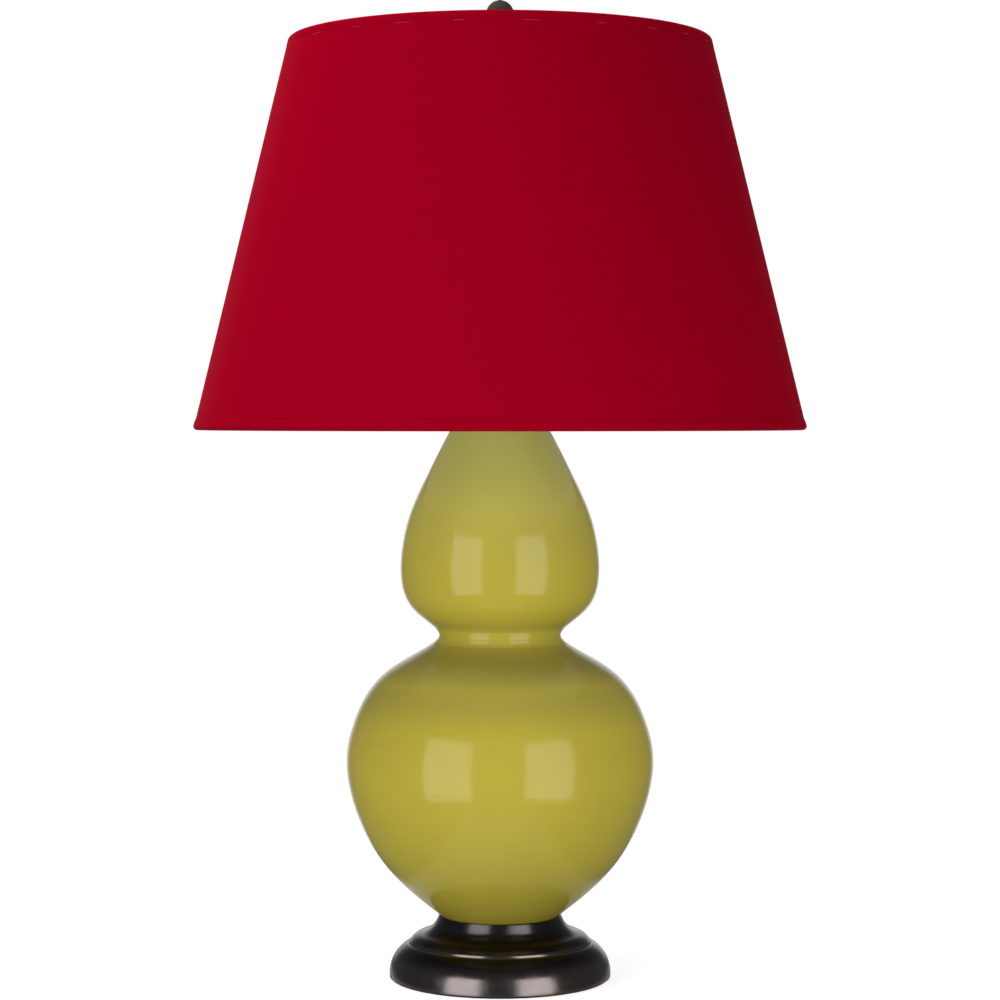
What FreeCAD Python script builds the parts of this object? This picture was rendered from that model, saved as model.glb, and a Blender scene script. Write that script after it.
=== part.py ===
"""Double gourd table lamp, modelled as the separate pieces it is assembled from.

Millimetres. The origin is the centre of the underside of the base, +Z is up
along the lamp's axis and -Y is the front. Every driving dimension is a cell of
the sheet "Sizes"; levels and radii that follow from them are expressions.
"""
import FreeCAD, Part
import os
import re
import Sketcher

from FreeCAD import Rotation, Vector

# Driving dimensions: name, millimetres, meaning.
SIZES = [
    # Clearances shared by all pieces.
    ("seat_gap", 0.3, "air between pieces that move apart"),
    ("fit_gap", 0.1, "radial clearance of pieces that slide or turn on each other"),
    # Base.
    ("felt_thickness", 1.5, "felt under the base"),
    ("felt_setback", 1.5, "felt edge inside the base edge"),
    ("base_height", 48.5, "casting, from its rim to the top of its neck"),
    ("base_radius", 87.7, "foot of the casting"),
    ("foot_edge_height", 2.5, "upright edge of the foot"),
    ("ovolo_bulge", 3.7, "rise of the big quarter round over its chord"),
    ("ovolo_top_radius", 74.2, "top of the quarter round"),
    ("ovolo_top_level", 26.0, "top of the quarter round above the rim"),
    ("bead_radius", 72.3, "outside of the small bead"),
    ("bead_level", 26.8, "underside of the small bead"),
    ("bead_bulge", 1.5, "rise of the small bead over its chord"),
    ("cove_radius", 62.5, "foot of the hollow neck curve"),
    ("cove_level", 34.3, "foot of the hollow neck curve above the rim"),
    ("cove_bulge", 2.6, "depth of the hollow neck curve"),
    ("neck_radius", 48.8, "top of the base neck"),
    ("neck_rounding", 0.7, "rounded lip of the neck"),
    ("cup_depth", 6.5, "depth of the seat in the neck"),
    ("cup_gap", 0.5, "air round the body in the seat"),
    ("deck_thickness", 6.0, "metal under the seat"),
    ("casting_wall", 8.0, "wall of the hollow casting"),
    ("inlet_level", 9.0, "height of the lead's inlet above the rim"),
    ("inlet_overrun", 5.0, "drilling past each face of the wall"),
    ("bushing_radius", 5.0, "barrel of the inlet bushing"),
    ("bushing_bore", 3.5, "bore of the inlet bushing"),
    ("bushing_flange", 6.6, "flange of the inlet bushing"),
    ("flange_thickness", 1.8, "flange of the inlet bushing"),
    ("bushing_tail", 2.0, "bushing past the inner face of the wall"),
    ("spotface_depth", 2.0, "flat sunk round the inlet"),
    # Rod and its fasteners.
    ("rod_radius", 4.8, "threaded rod"),
    ("rod_bore", 3.1, "wireway through the rod"),
    ("rod_tail", 3.0, "rod below its nut"),
    ("rod_nose", 5.0, "rod inside the socket cap"),
    ("washer_radius", 14.0, "plain washer under the deck"),
    ("washer_thickness", 1.6, "plain washer under the deck"),
    ("lock_washer_radius", 8.4, "spring washer"),
    ("lock_washer_thickness", 1.8, "spring washer"),
    ("lock_washer_split", 1.4, "split of the spring washer"),
    ("nut_across_corners", 16.5, "hexagon nut"),
    ("nut_thickness", 5.0, "hexagon nut"),
    # Body.
    ("gasket_thickness", 1.5, "cork washer under the body"),
    ("foot_radius", 40.3, "flat foot of the body"),
    ("seat_radius", 47.0, "body at the lip of the base neck"),
    ("gourd_height", 425.0, "body from foot to mouth"),
    ("gourd_wall", 7.0, "ceramic wall"),
    ("gourd_floor", 10.0, "ceramic floor"),
    ("heel_radius", 84.2, "control ring of the outline: heel"),
    ("heel_level", 33.5, "control ring of the outline: heel"),
    ("flank_radius", 108.9, "control ring: lower flank"),
    ("flank_level", 67.8, "control ring: lower flank"),
    ("belly_radius", 124.6, "control ring: belly"),
    ("belly_level", 120.7, "control ring: belly"),
    ("chest_radius", 118.4, "control ring: above the belly"),
    ("chest_level", 155.5, "control ring: above the belly"),
    ("shoulder_radius", 96.9, "control ring: shoulder"),
    ("shoulder_level", 202.2, "control ring: shoulder"),
    ("waist_radius", 27.7, "control ring: waist"),
    ("waist_level", 227.0, "control ring: waist"),
    ("cheek_radius", 82.7, "control ring: foot of the upper bulb"),
    ("cheek_level", 245.6, "control ring: foot of the upper bulb"),
    ("crown_radius", 77.4, "control ring: upper bulb"),
    ("crown_level", 309.2, "control ring: upper bulb"),
    ("slope_radius", 64.9, "control ring: top of the upper bulb"),
    ("slope_level", 340.1, "control ring: top of the upper bulb"),
    ("throat_radius", 41.8, "control ring: throat"),
    ("throat_level", 384.7, "control ring: throat"),
    ("mouth_radius", 20.3, "mouth of the body"),
    # Cap, neck tube, check ring.
    ("cap_radius", 24.0, "cap over the mouth"),
    ("cap_edge", 1.6, "edge of the cap"),
    ("cap_height", 6.0, "cap above the mouth"),
    ("cap_bulge", 1.2, "dome of the cap"),
    ("cap_plug", 3.0, "collar of the cap inside the mouth"),
    ("cap_land", 1.0, "flat of the cap round its tube"),
    ("neck_tube_radius", 7.5, "tube over the rod"),
    ("neck_tube_wall", 1.2, "tube over the rod"),
    ("neck_tube_height", 14.0, "tube over the rod"),
    ("check_ring_radius", 11.0, "ring under the saddle"),
    ("check_ring_height", 3.0, "ring under the saddle"),
    # Harp, saddle and ferrules.
    ("strip_thickness", 2.0, "saddle strip"),
    ("strip_width", 13.0, "saddle strip"),
    ("strip_bend", 4.0, "outer bend of the saddle strip"),
    ("arm_height", 10.5, "saddle arms above the underside of the strip"),
    ("harp_half_span", 25.0, "prong and leg from the axis"),
    ("prong_height", 9.0, "prong above its arm"),
    ("wire_radius", 1.6, "harp wire and prongs"),
    ("ferrule_wall", 1.3, "ferrule"),
    ("ferrule_length", 20.0, "ferrule"),
    ("ferrule_rounding", 1.2, "rounded upper end of a ferrule"),
    ("leg_length", 28.0, "straight foot of each harp leg"),
    ("harp_half_width", 54.0, "widest place of the harp"),
    ("flare_radius", 45.0, "bends at the foot of the harp"),
    ("harp_rise", 206.7, "harp from its feet to the top of its bow"),
    ("bow_radius", 45.0, "corners at the top of the bow"),
    ("bracket_length", 15.0, "bracket across the bow"),
    ("bracket_width", 9.0, "bracket"),
    ("bracket_below", 2.9, "bracket under the wire's axis"),
    ("bracket_above", 3.7, "bracket over the wire's axis"),
    ("bracket_rounding", 1.5, "upright edges of the bracket"),
    ("stud_flange_radius", 6.4, "flange that the shade rests on"),
    ("stud_flange_height", 2.0, "flange that the shade rests on"),
    ("stud_radius", 3.17, "stud for the finial"),
    ("stud_height", 13.0, "stud above its flange"),
    ("stud_chamfer", 1.0, "end of the stud"),
    ("pivot_radius", 2.0, "pivot of the stud in the bracket"),
    ("pivot_depth", 1.2, "pivot of the stud in the bracket"),
    # Lamp holder.
    ("cap_cup_height", 17.0, "socket cap"),
    ("cap_cup_shoulder", 7.0, "rounded shoulder of the socket cap"),
    ("cap_cup_wall", 0.7, "socket cap"),
    ("shell_foot", 8.5, "foot of the socket shell above the saddle"),
    ("shell_top", 56.0, "mouth of the socket shell above the saddle"),
    ("shell_wall", 0.6, "socket shell"),
    ("shell_bead", 0.8, "rolled mouth of the socket shell"),
    ("shell_bead_bulge", 0.6, "rise of the rolled mouth over its chord"),
    ("sleeve_wall", 0.8, "insulating sleeve"),
    ("core_foot", 10.0, "underside of the socket core above the saddle"),
    ("core_radius", 14.0, "flange of the socket core"),
    ("core_step", 24.0, "underside of the core flange above the saddle"),
    ("core_top", 33.0, "top of the socket core above the saddle"),
    ("terminal_recess", 1.8, "flat for the terminal screws"),
    ("terminal_level", 17.0, "terminal screws above the saddle"),
    ("terminal_head_radius", 2.9, "terminal screw head"),
    ("terminal_head_height", 1.4, "terminal screw head"),
    ("terminal_shank_radius", 1.5, "terminal screw"),
    ("terminal_shank_length", 5.0, "terminal screw"),
    ("screw_shell_wall", 0.4, "threaded shell of the holder"),
    ("screw_shell_web", 6.0, "hole in the foot of the threaded shell"),
    ("screw_shell_top", 53.5, "mouth of the threaded shell above the saddle"),
    ("contact_radius", 3.6, "centre contact"),
    ("contact_leaf", 0.5, "centre contact"),
    ("contact_height", 1.5, "centre contact"),
    # Turn switch.
    ("switch_level", 28.0, "switch axis above the saddle"),
    ("stem_radius", 1.9, "switch stem"),
    ("stem_inner_end", 4.0, "inner end of the switch stem from the axis"),
    ("stem_window", 1.0, "air round the stem in the shell"),
    ("knob_standoff", 1.2, "knob from the socket shell"),
    ("knob_length", 13.0, "knob"),
    ("knob_radius", 5.6, "knob"),
    ("knob_end_radius", 4.8, "outer end of the knob"),
    ("knob_rounding", 1.0, "rounded outer end of the knob"),
    ("knob_grip", 8.0, "stem inside the knob"),
    ("flute_radius", 0.9, "flutes of the knob"),
    # Bulb.
    ("bulb_cap_radius", 13.1, "threaded cap of the bulb"),
    ("bulb_cap_wall", 0.5, "threaded cap of the bulb"),
    ("bulb_cap_height", 24.0, "threaded cap of the bulb"),
    ("bulb_rim_radius", 14.0, "rim of the bulb cap"),
    ("insulator_radius", 9.2, "insulator of the bulb cap"),
    ("insulator_height", 3.0, "insulator of the bulb cap"),
    ("tip_radius", 4.6, "tip contact of the bulb"),
    ("tip_height", 1.2, "tip contact of the bulb"),
    ("tip_dome_height", 0.9, "domed end of the tip contact"),
    ("tip_bulge", 0.22, "rise of the domed end over its chord"),
    ("glass_foot", 16.0, "foot of the glass above the foot of its cap"),
    ("glass_height", 117.8, "glass envelope"),
    ("glass_wall", 1.0, "glass envelope"),
    ("glass_neck_radius", 12.2, "glass inside the cap"),
    ("glass_neck_height", 12.0, "control ring of the glass: neck"),
    ("glass_throat_radius", 16.0, "control ring: throat"),
    ("glass_throat_height", 30.0, "control ring: throat"),
    ("glass_flank_radius", 32.0, "control ring: flank"),
    ("glass_flank_height", 52.0, "control ring: flank"),
    ("glass_belly_radius", 35.5, "control ring: widest place"),
    ("glass_belly_height", 84.0, "control ring: widest place"),
    ("glass_crown_radius", 26.0, "control ring: crown"),
    ("stem_glass_radius", 3.0, "glass stem of the bulb"),
    ("stem_glass_flare", 14.0, "flared foot of the glass stem"),
    ("stem_glass_skirt", 1.0, "upright edge of the flared foot"),
    ("stem_glass_height", 44.0, "glass stem of the bulb"),
    ("filament_wire", 0.4, "filament and its leads"),
    ("lead_offset", 2.2, "each lead from the axis"),
    ("filament_height", 15.0, "leads above the stem"),
    ("filament_width", 16.0, "filament coil"),
    ("coil_radius", 0.6, "filament coil"),
    # Shade.
    ("shade_bottom_radius", 241.3, "outside of the lower edge"),
    ("shade_top_radius", 166.1, "outside of the upper edge"),
    ("shade_height", 306.7, "upright height"),
    ("trim_thickness", 0.7, "folded edging"),
    ("fabric_thickness", 0.8, "cover cloth"),
    ("glue_gap", 0.15, "bond line"),
    ("liner_thickness", 1.0, "stiff lining"),
    ("lower_trim_height", 9.0, "outside of the lower edging"),
    ("lower_trim_return", 7.0, "lower edging inside the shade"),
    ("upper_trim_height", 6.5, "outside of the upper edging"),
    ("upper_trim_return", 3.0, "upper edging inside the shade"),
    ("ring_wire_radius", 1.5, "frame wire"),
    ("upper_ring_setback", 5.0, "upper frame ring under the upper edge"),
    ("spider_drop", 9.2, "hub below the upper frame ring"),
    ("spider_bend_from_ring", 10.0, "bend of each arm from the ring"),
    ("hub_radius", 12.0, "hub washer of the fitter"),
    ("hub_thickness", 1.6, "hub washer of the fitter"),
    ("hub_clearance", 0.35, "hub hole round the stud"),
    ("arm_root_radius", 9.6, "inner end of the arms"),
    # Finial.
    ("finial_foot_radius", 8.4, "foot of the finial"),
    ("finial_foot_height", 2.2, "foot of the finial"),
    ("finial_foot_chamfer", 0.6, "lower edge of the foot"),
    ("finial_cove_height", 4.2, "hollow curve over the foot"),
    ("finial_cove_depth", 0.8, "hollow curve over the foot"),
    ("finial_neck_radius", 5.8, "neck of the finial"),
    ("finial_neck_height", 14.8, "neck of the finial"),
    ("finial_collar_radius", 7.6, "collar under the ball"),
    ("finial_collar_height", 3.0, "collar under the ball"),
    ("finial_collar_bulge", 1.0, "rounded edge of the collar"),
    ("finial_collar_step", 0.4, "sloped faces of the collar"),
    ("finial_ball_radius", 11.0, "ball"),
    ("ball_foot_radius", 6.0, "ball where it meets the collar"),
    ("finial_nub_radius", 1.6, "nub on the ball"),
    ("finial_nub_height", 0.5, "nub above the ball"),
    ("insert_wall", 0.9, "threaded insert of the finial"),
    ("insert_length", 15.0, "threaded insert of the finial"),
]

# Dimensions that follow from the driving ones. A name here may use the others.
DERIVED = {
    # Levels above the floor, from the foot of the lamp to its top.
    "cup_rim_level": "felt_thickness + base_height",
    "cup_floor_level": "cup_rim_level - cup_depth",
    "foot_level": "cup_floor_level + gasket_thickness",
    "deck_level": "cup_floor_level - deck_thickness",
    "lock_washer_level": "deck_level - washer_thickness",
    "nut_top_level": "lock_washer_level - lock_washer_thickness",
    "rod_foot_level": "nut_top_level - nut_thickness - rod_tail",
    "mouth_level": "foot_level + gourd_height",
    "cap_top_level": "mouth_level + cap_height",
    "check_ring_level": "cap_top_level + neck_tube_height",
    "strip_level": "check_ring_level + check_ring_height",
    "saddle_level": "strip_level + strip_thickness",
    "prong_top_level": "strip_level + arm_height + prong_height",
    "harp_foot_level": "prong_top_level + seat_gap",
    "bow_level": "harp_foot_level + harp_rise",
    "stud_level": "bow_level + bracket_above + seat_gap",
    "hub_level": "stud_level + stud_flange_height + seat_gap",
    "shade_level": "hub_level + hub_thickness/2 - arm_level",
    "finial_level": "hub_level + hub_thickness + seat_gap",
    # Base and rod.
    "inlet_world_level": "felt_thickness + inlet_level",
    "spotface_plane": "base_radius - spotface_depth",
    "rod_hole": "rod_radius + fit_gap",
    "rod_length": "saddle_level + rod_nose - rod_foot_level",
    # Lamp holder, from the bulb cap outwards.
    "screw_shell_inner": "bulb_cap_radius + seat_gap",
    "sleeve_inner": "core_radius + fit_gap",
    "shell_inner": "sleeve_inner + sleeve_wall + fit_gap",
    "shell_outer": "shell_inner + shell_wall",
    "cup_inner": "shell_outer + fit_gap",
    "cup_outer": "cup_inner + cap_cup_wall",
    "waist_core_radius": "core_radius - terminal_recess",
    "knob_start": "shell_outer + shell_bead + knob_standoff",
    # Bulb.
    "tip_level": "saddle_level + core_top + contact_height + seat_gap",
    "bulb_cap_level": "tip_level + tip_height",
    "glass_level": "bulb_cap_level + glass_foot",
    # Harp.
    "ferrule_bore": "wire_radius + seat_gap",
    "ferrule_level": "strip_level + arm_height + seat_gap",
    "flare_width": "harp_half_width - harp_half_span",
    "flare_cosine": "1 - flare_width/(2*flare_radius)",
    "flare_height": "2*flare_radius*sqrt(1 - flare_cosine*flare_cosine)",
    # Shade.
    "shade_slope": "(shade_bottom_radius - shade_top_radius)/shade_height",
    "fabric_back": "trim_thickness + fabric_thickness",
    "liner_face": "fabric_back + glue_gap",
    "liner_back": "liner_face + liner_thickness",
    "ring_depth": "liner_back + glue_gap + ring_wire_radius",
    "ring_back": "ring_depth + ring_wire_radius + glue_gap",
    "upper_ring_level": "shade_height - upper_ring_setback",
    "arm_level": "upper_ring_level - spider_drop",
    "bend_run": "spider_drop*sqrt(3)",
    # Finial.
    "insert_bore": "stud_radius + fit_gap",
    "insert_radius": "insert_bore + insert_wall",
    "finial_bore": "insert_radius + fit_gap",
    "collar_level": "finial_foot_height + finial_cove_height + finial_neck_height",
    "ball_foot_level": "collar_level + finial_collar_height",
    "finial_ball_height": "ball_foot_level + sqrt(finial_ball_radius^2 - ball_foot_radius^2)",
    "nub_foot_level": "finial_ball_height + sqrt(finial_ball_radius^2 - finial_nub_radius^2)",
}

QUARTER = 0.292893      # rise of a quarter circle over its chord, for a radius of one
FLUTE_COUNT = 8
ARM_COUNT = 3
END_COUNT = 4           # how many times a cubic curve counts each of its end knots
TO_FRONT = Rotation(Vector(1, 0, 0), 90)      # local +Z towards -Y
TO_BACK = Rotation(Vector(1, 0, 0), -90)      # local +Z towards +Y
TO_RIGHT = Rotation(Vector(0, 1, 0), 90)      # local +Z towards +X
TO_LEFT = Rotation(Vector(0, 1, 0), -90)      # local +Z towards -X
ARM_TO_BACK = Rotation(Vector(0, 0, 1), 90)   # local +X towards +Y

DOC = FreeCAD.newDocument("DoubleGourdLamp")
SHEET = DOC.addObject("Spreadsheet::Sheet", "Sizes")
for row, (alias, size, meaning) in enumerate(SIZES, start=1):
    SHEET.set(f"A{row}", alias)
    SHEET.set(f"B{row}", str(size))
    SHEET.set(f"C{row}", meaning)
    SHEET.setAlias(f"B{row}", alias)
DOC.recompute()

PIECES = []


# ---------------------------------------------------------------- expressions

def on_sheet(text):
    """The expression with each name written as a cell of the sheet."""
    def cell(match):
        word = match.group(0)
        if word in DERIVED:
            return "(" + on_sheet(DERIVED[word]) + ")"
        return "Sizes." + word
    return re.sub(r"\b[a-z_]\w*\b(?!\()", cell, text)


def value(text):
    """The expression's present value in millimetres."""
    return float(SHEET.evalExpression(on_sheet(text)))


def bind(thing, **properties):
    """Ties properties of a document object to expressions on the sheet."""
    for name, text in properties.items():
        thing.setExpression(name, on_sheet(text))


def place(thing, x="0", y="0", z="0", turn=Rotation()):
    """Turns an object and ties its position to the sheet."""
    thing.Placement = FreeCAD.Placement(Vector(), turn)
    for axis, text in (("x", x), ("y", y), ("z", z)):
        if text != "0":
            thing.setExpression("Placement.Base." + axis, on_sheet(text))


def piece(thing, name):
    """Names a finished sub-part and puts it on the list that is written out."""
    thing.Label = name
    PIECES.append(thing)
    return thing


# ------------------------------------------------------------------- sketches

class Bulge:
    """The next side of an outline is an arc, this far outside its chord."""

    def __init__(self, rise):
        self.rise = rise


class Rings:
    """The next side of an outline is a smooth curve with these control points."""

    def __init__(self, *points):
        self.points = points


def origin_plane(body, role):
    """One of the body's own origin features."""
    return next(feature for feature in body.Origin.OriginFeatures if feature.Role == role)


def sketch_on(body, name, plane="XZ_Plane"):
    """A sketch on one of the body's origin planes."""
    sketch = body.newObject("Sketcher::SketchObject", name)
    sketch.AttachmentSupport = [(origin_plane(body, plane), "")]
    sketch.MapMode = "FlatFace"
    return sketch


def pin_point(sketch, shape, end, corner):
    """Ties a point of the sketch to the two expressions of a corner."""
    for kind, axis, text in (("DistanceX", -2, corner[0]), ("DistanceY", -1, corner[1])):
        if text == "0":
            sketch.addConstraint(Sketcher.Constraint("PointOnObject", shape, end, axis))
            continue
        index = sketch.addConstraint(Sketcher.Constraint(kind, -1, 1, shape, end, value(text)))
        sketch.setExpression(f"Constraints[{index}]", on_sheet(text))


def point_at(corner):
    """The corner's present position in the sketch."""
    return Vector(value(corner[0]), value(corner[1]), 0)


def draw_arc(sketch, start, finish, rise):
    """An arc between two corners. A positive rise lies right of the way from start."""
    first, last = point_at(start), point_at(finish)
    chord = last - first
    right = Vector(chord.y, -chord.x, 0).normalize()
    middle = (first + last)*0.5 + right*value(rise)
    shape = sketch.addGeometry(Part.Arc(first, middle, last))
    across = f"(({finish[0]}) - ({start[0]}))"
    upward = f"(({finish[1]}) - ({start[1]}))"
    square = f"({across}*{across} + {upward}*{upward})/4"
    radius = f"({square} + ({rise})*({rise}))/(2*abs({rise}))"
    index = sketch.addConstraint(Sketcher.Constraint("Radius", shape, value(radius)))
    sketch.setExpression(f"Constraints[{index}]", on_sheet(radius))
    return shape


def draw_rings(sketch, start, finish, rings):
    """A cubic spline whose inner control points are tied to the sheet."""
    corners = [start, *rings.points, finish]
    knots = list(range(len(corners) - END_COUNT + 2))
    counts = [END_COUNT] + [1]*(len(knots) - 2) + [END_COUNT]
    curve = Part.BSplineCurve()
    poles = [point_at(corner) for corner in corners]
    curve.buildFromPolesMultsKnots(poles, counts, knots, False, END_COUNT - 1)
    shape = sketch.addGeometry(curve)
    sketch.exposeInternalGeometry(shape)
    for number, corner in enumerate(rings.points, start=2):
        pin_point(sketch, shape + number, 3, corner)
    return shape


def draw(sketch, outline, closed=True):
    """Draws corners joined by lines, arcs or splines, all tied to the sheet."""
    corners = []
    joins = []
    for item in outline:
        if isinstance(item, tuple):
            corners.append(item)
            joins.append(None)
        else:
            joins[-1] = item
    count = len(corners) if closed else len(corners) - 1
    ends = []
    for number in range(count):
        start, finish = corners[number], corners[(number + 1) % len(corners)]
        join = joins[number]
        if isinstance(join, Bulge):
            shape = draw_arc(sketch, start, finish, join.rise)
        elif isinstance(join, Rings):
            shape = draw_rings(sketch, start, finish, join)
        else:
            shape = sketch.addGeometry(Part.LineSegment(point_at(start), point_at(finish)))
        near = (sketch.getPoint(shape, 1) - point_at(start)).Length
        far = (sketch.getPoint(shape, 2) - point_at(start)).Length
        first, last = (1, 2) if near < far else (2, 1)
        pin_point(sketch, shape, first, start)
        if ends:
            sketch.addConstraint(Sketcher.Constraint("Coincident", *ends[-1][1], shape, first))
        ends.append(((shape, first), (shape, last)))
    if closed:
        sketch.addConstraint(Sketcher.Constraint("Coincident", *ends[-1][1], *ends[0][0]))
    else:
        pin_point(sketch, *ends[-1][1], corners[-1])
    return [f"Edge{number}" for number in range(1, count + 1)]


def draw_circle(sketch, x, y, radius):
    """A circle tied to the sheet."""
    middle = point_at((x, y))
    shape = sketch.addGeometry(Part.Circle(middle, Vector(0, 0, 1), value(radius)))
    pin_point(sketch, shape, 3, (x, y))
    index = sketch.addConstraint(Sketcher.Constraint("Radius", shape, value(radius)))
    sketch.setExpression(f"Constraints[{index}]", on_sheet(radius))


# ------------------------------------------------------------- building blocks

def new_body(name, z="0"):
    """An empty body whose own origin stands at the given level."""
    body = DOC.addObject("PartDesign::Body", name)
    place(body, z=z)
    return body


def add_turning(body, outline, name="turning"):
    """Adds a full turn of an outline, given as (radius, height), to a body."""
    sketch = sketch_on(body, f"{body.Name}_{name}_outline")
    draw(sketch, outline)
    turning = body.newObject("PartDesign::Revolution", f"{body.Name}_{name}")
    turning.Profile = sketch
    turning.ReferenceAxis = (sketch, ["V_Axis"])
    turning.Angle = 360
    return turning


def turned(name, outline, z="0"):
    """A piece turned from one outline."""
    body = new_body(name, z)
    add_turning(body, outline)
    return body


def ring_outline(inner, outer, low, high):
    """The rectangle whose turning is a plain ring or tube."""
    return [(inner, low), (outer, low), (outer, high), (inner, high)]


def cylinder(name, radius, height, x="0", y="0", z="0", turn=Rotation()):
    """A plain cylinder tied to the sheet, with the centre of its foot at a point."""
    shape = DOC.addObject("Part::Cylinder", name)
    bind(shape, Radius=radius, Height=height)
    place(shape, x, y, z, turn)
    return shape


def cut(base, tool, name):
    """Base less tool."""
    result = DOC.addObject("Part::Cut", name)
    result.Base = base
    result.Tool = tool
    return result


def fuse(name, *shapes):
    """Shapes joined into one solid."""
    result = DOC.addObject("Part::MultiFuse", name)
    result.Shapes = list(shapes)
    result.Refine = True
    return result


def add_wire(body, name, path, radius, start_plane, start):
    """Adds a round wire along a path that starts beside an origin plane of the body."""
    way = sketch_on(body, f"{body.Name}_{name}_path")
    edges = draw(way, path, closed=False)
    section = sketch_on(body, f"{body.Name}_{name}_section", start_plane)
    across, upward, beside = start
    draw_circle(section, across, upward, radius)
    if beside != "0":
        section.setExpression("AttachmentOffset.Base.z", on_sheet(beside))
    wire = body.newObject("PartDesign::AdditivePipe", f"{body.Name}_{name}")
    wire.Profile = section
    wire.Spine = (way, edges)
    return wire


# ------------------------------------------------------------------------ base

def make_base():
    """The hollow casting with its moulded outline and the seat in its neck."""
    deck = "base_height - cup_depth - deck_thickness"
    outline = [
        ("rod_hole", deck),
        ("neck_radius - casting_wall", deck),
        ("cove_radius - casting_wall", "cove_level - casting_wall"),
        ("ovolo_top_radius - casting_wall", "ovolo_top_level - casting_wall"),
        ("base_radius - casting_wall", "foot_edge_height + casting_wall/2"),
        ("base_radius - casting_wall", "0"),
        ("base_radius", "0"),
        ("base_radius", "foot_edge_height"), Bulge("ovolo_bulge"),
        ("ovolo_top_radius", "ovolo_top_level"),
        ("bead_radius", "bead_level"), Bulge("bead_bulge"),
        ("cove_radius", "cove_level"), Bulge("-cove_bulge"),
        ("neck_radius", "base_height - neck_rounding"), Bulge(f"neck_rounding*{QUARTER}"),
        ("neck_radius - neck_rounding", "base_height"),
        ("seat_radius + cup_gap", "base_height"),
        ("foot_radius + cup_gap", "base_height - cup_depth"),
        ("rod_hole", "base_height - cup_depth"),
    ]
    casting = turned("base_casting_turned", outline, "felt_thickness")
    hole = cylinder("inlet_hole", "bushing_radius + fit_gap", "casting_wall + inlet_overrun*2",
                    y="base_radius - casting_wall - inlet_overrun", z="inlet_world_level",
                    turn=TO_BACK)
    spotface = cylinder("inlet_spotface", "bushing_flange + seat_gap", "inlet_overrun*2",
                        y="spotface_plane", z="inlet_world_level", turn=TO_BACK)
    drilled = cut(casting, hole, "base_casting_drilled")
    piece(cut(drilled, spotface, "base_casting"), "base_casting")


def make_bushing():
    """The flanged bushing that lines the lead's inlet at the back."""
    barrel = "casting_wall - spotface_depth + bushing_tail"
    outline = [
        ("bushing_bore", f"-({barrel})"),
        ("bushing_radius", f"-({barrel})"),
        ("bushing_radius", "0"),
        ("bushing_flange", "0"),
        ("bushing_flange", "flange_thickness/2"), Bulge(f"flange_thickness/2*{QUARTER}"),
        ("bushing_flange - flange_thickness/2", "flange_thickness"),
        ("bushing_bore", "flange_thickness"),
    ]
    bushing = turned("cord_bushing", outline)
    place(bushing, y="spotface_plane", z="inlet_world_level", turn=TO_BACK)
    piece(bushing, "cord_bushing")


def make_felt():
    """The felt disc that the lamp stands on."""
    felt = cylinder("felt_pad", "base_radius - felt_setback", "felt_thickness")
    piece(felt, "felt_pad")


def make_rod_and_fasteners():
    """The hollow threaded rod that clamps the lamp together, and what holds its foot."""
    rod = turned("threaded_rod", ring_outline("rod_bore", "rod_radius", "0", "rod_length"),
                 "rod_foot_level")
    piece(rod, "threaded_rod")
    washer = ring_outline("rod_hole", "washer_radius", "-washer_thickness", "0")
    piece(turned("base_washer", washer, "deck_level"), "base_washer")
    spring = turned("lock_washer_ring",
                    ring_outline("rod_hole", "lock_washer_radius", "-lock_washer_thickness", "0"),
                    "lock_washer_level")
    split = DOC.addObject("Part::Box", "lock_washer_gap")
    bind(split, Length="lock_washer_radius*2", Width="lock_washer_split",
         Height="lock_washer_thickness*3")
    place(split, y="-lock_washer_split/2", z="lock_washer_level - lock_washer_thickness*2")
    piece(cut(spring, split, "lock_washer"), "lock_washer")
    nut = DOC.addObject("Part::Prism", "base_nut_blank")
    nut.Polygon = 6
    bind(nut, Circumradius="nut_across_corners/2", Height="nut_thickness")
    place(nut, z="nut_top_level - nut_thickness")
    bore = cylinder("base_nut_bore", "rod_hole", "nut_thickness",
                    z="nut_top_level - nut_thickness")
    piece(cut(nut, bore, "base_nut"), "base_nut")


# ------------------------------------------------------------------------ body

def make_gasket():
    """The cork washer between the body and its seat."""
    outline = ring_outline("rod_hole", "foot_radius - seat_gap", "0", "gasket_thickness")
    piece(turned("seat_gasket", outline, "cup_floor_level"), "seat_gasket")


def make_gourd():
    """The thrown body: two bulbs and a waist on one smooth outline, with an even wall."""
    names = ("heel", "flank", "belly", "chest", "shoulder", "waist", "cheek", "crown", "slope",
             "throat")
    outer = [(f"{name}_radius", f"{name}_level") for name in names]
    inner = [(f"{name}_radius - gourd_wall", f"{name}_level") for name in reversed(names)]
    outline = [
        ("rod_hole", "0"),
        ("foot_radius", "0"),
        ("seat_radius", "cup_depth - gasket_thickness"), Rings(*outer),
        ("mouth_radius", "gourd_height"),
        ("mouth_radius - gourd_wall", "gourd_height"), Rings(*inner),
        ("seat_radius - gourd_wall", "gourd_floor"),
        ("rod_hole", "gourd_floor"),
    ]
    piece(turned("gourd_body", outline, "foot_level"), "gourd_body")


# -------------------------------------------------------------- neck and saddle

def make_cap():
    """The domed cap that closes the mouth, with a collar that centres it."""
    outline = [
        ("rod_hole", "-cap_plug"),
        ("mouth_radius - gourd_wall - seat_gap", "-cap_plug"),
        ("mouth_radius - gourd_wall - seat_gap", "0"),
        ("cap_radius", "0"),
        ("cap_radius", "cap_edge"), Bulge("cap_bulge"),
        ("neck_tube_radius + cap_land", "cap_height"),
        ("rod_hole", "cap_height"),
    ]
    piece(turned("vase_cap", outline, "mouth_level"), "vase_cap")


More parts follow.
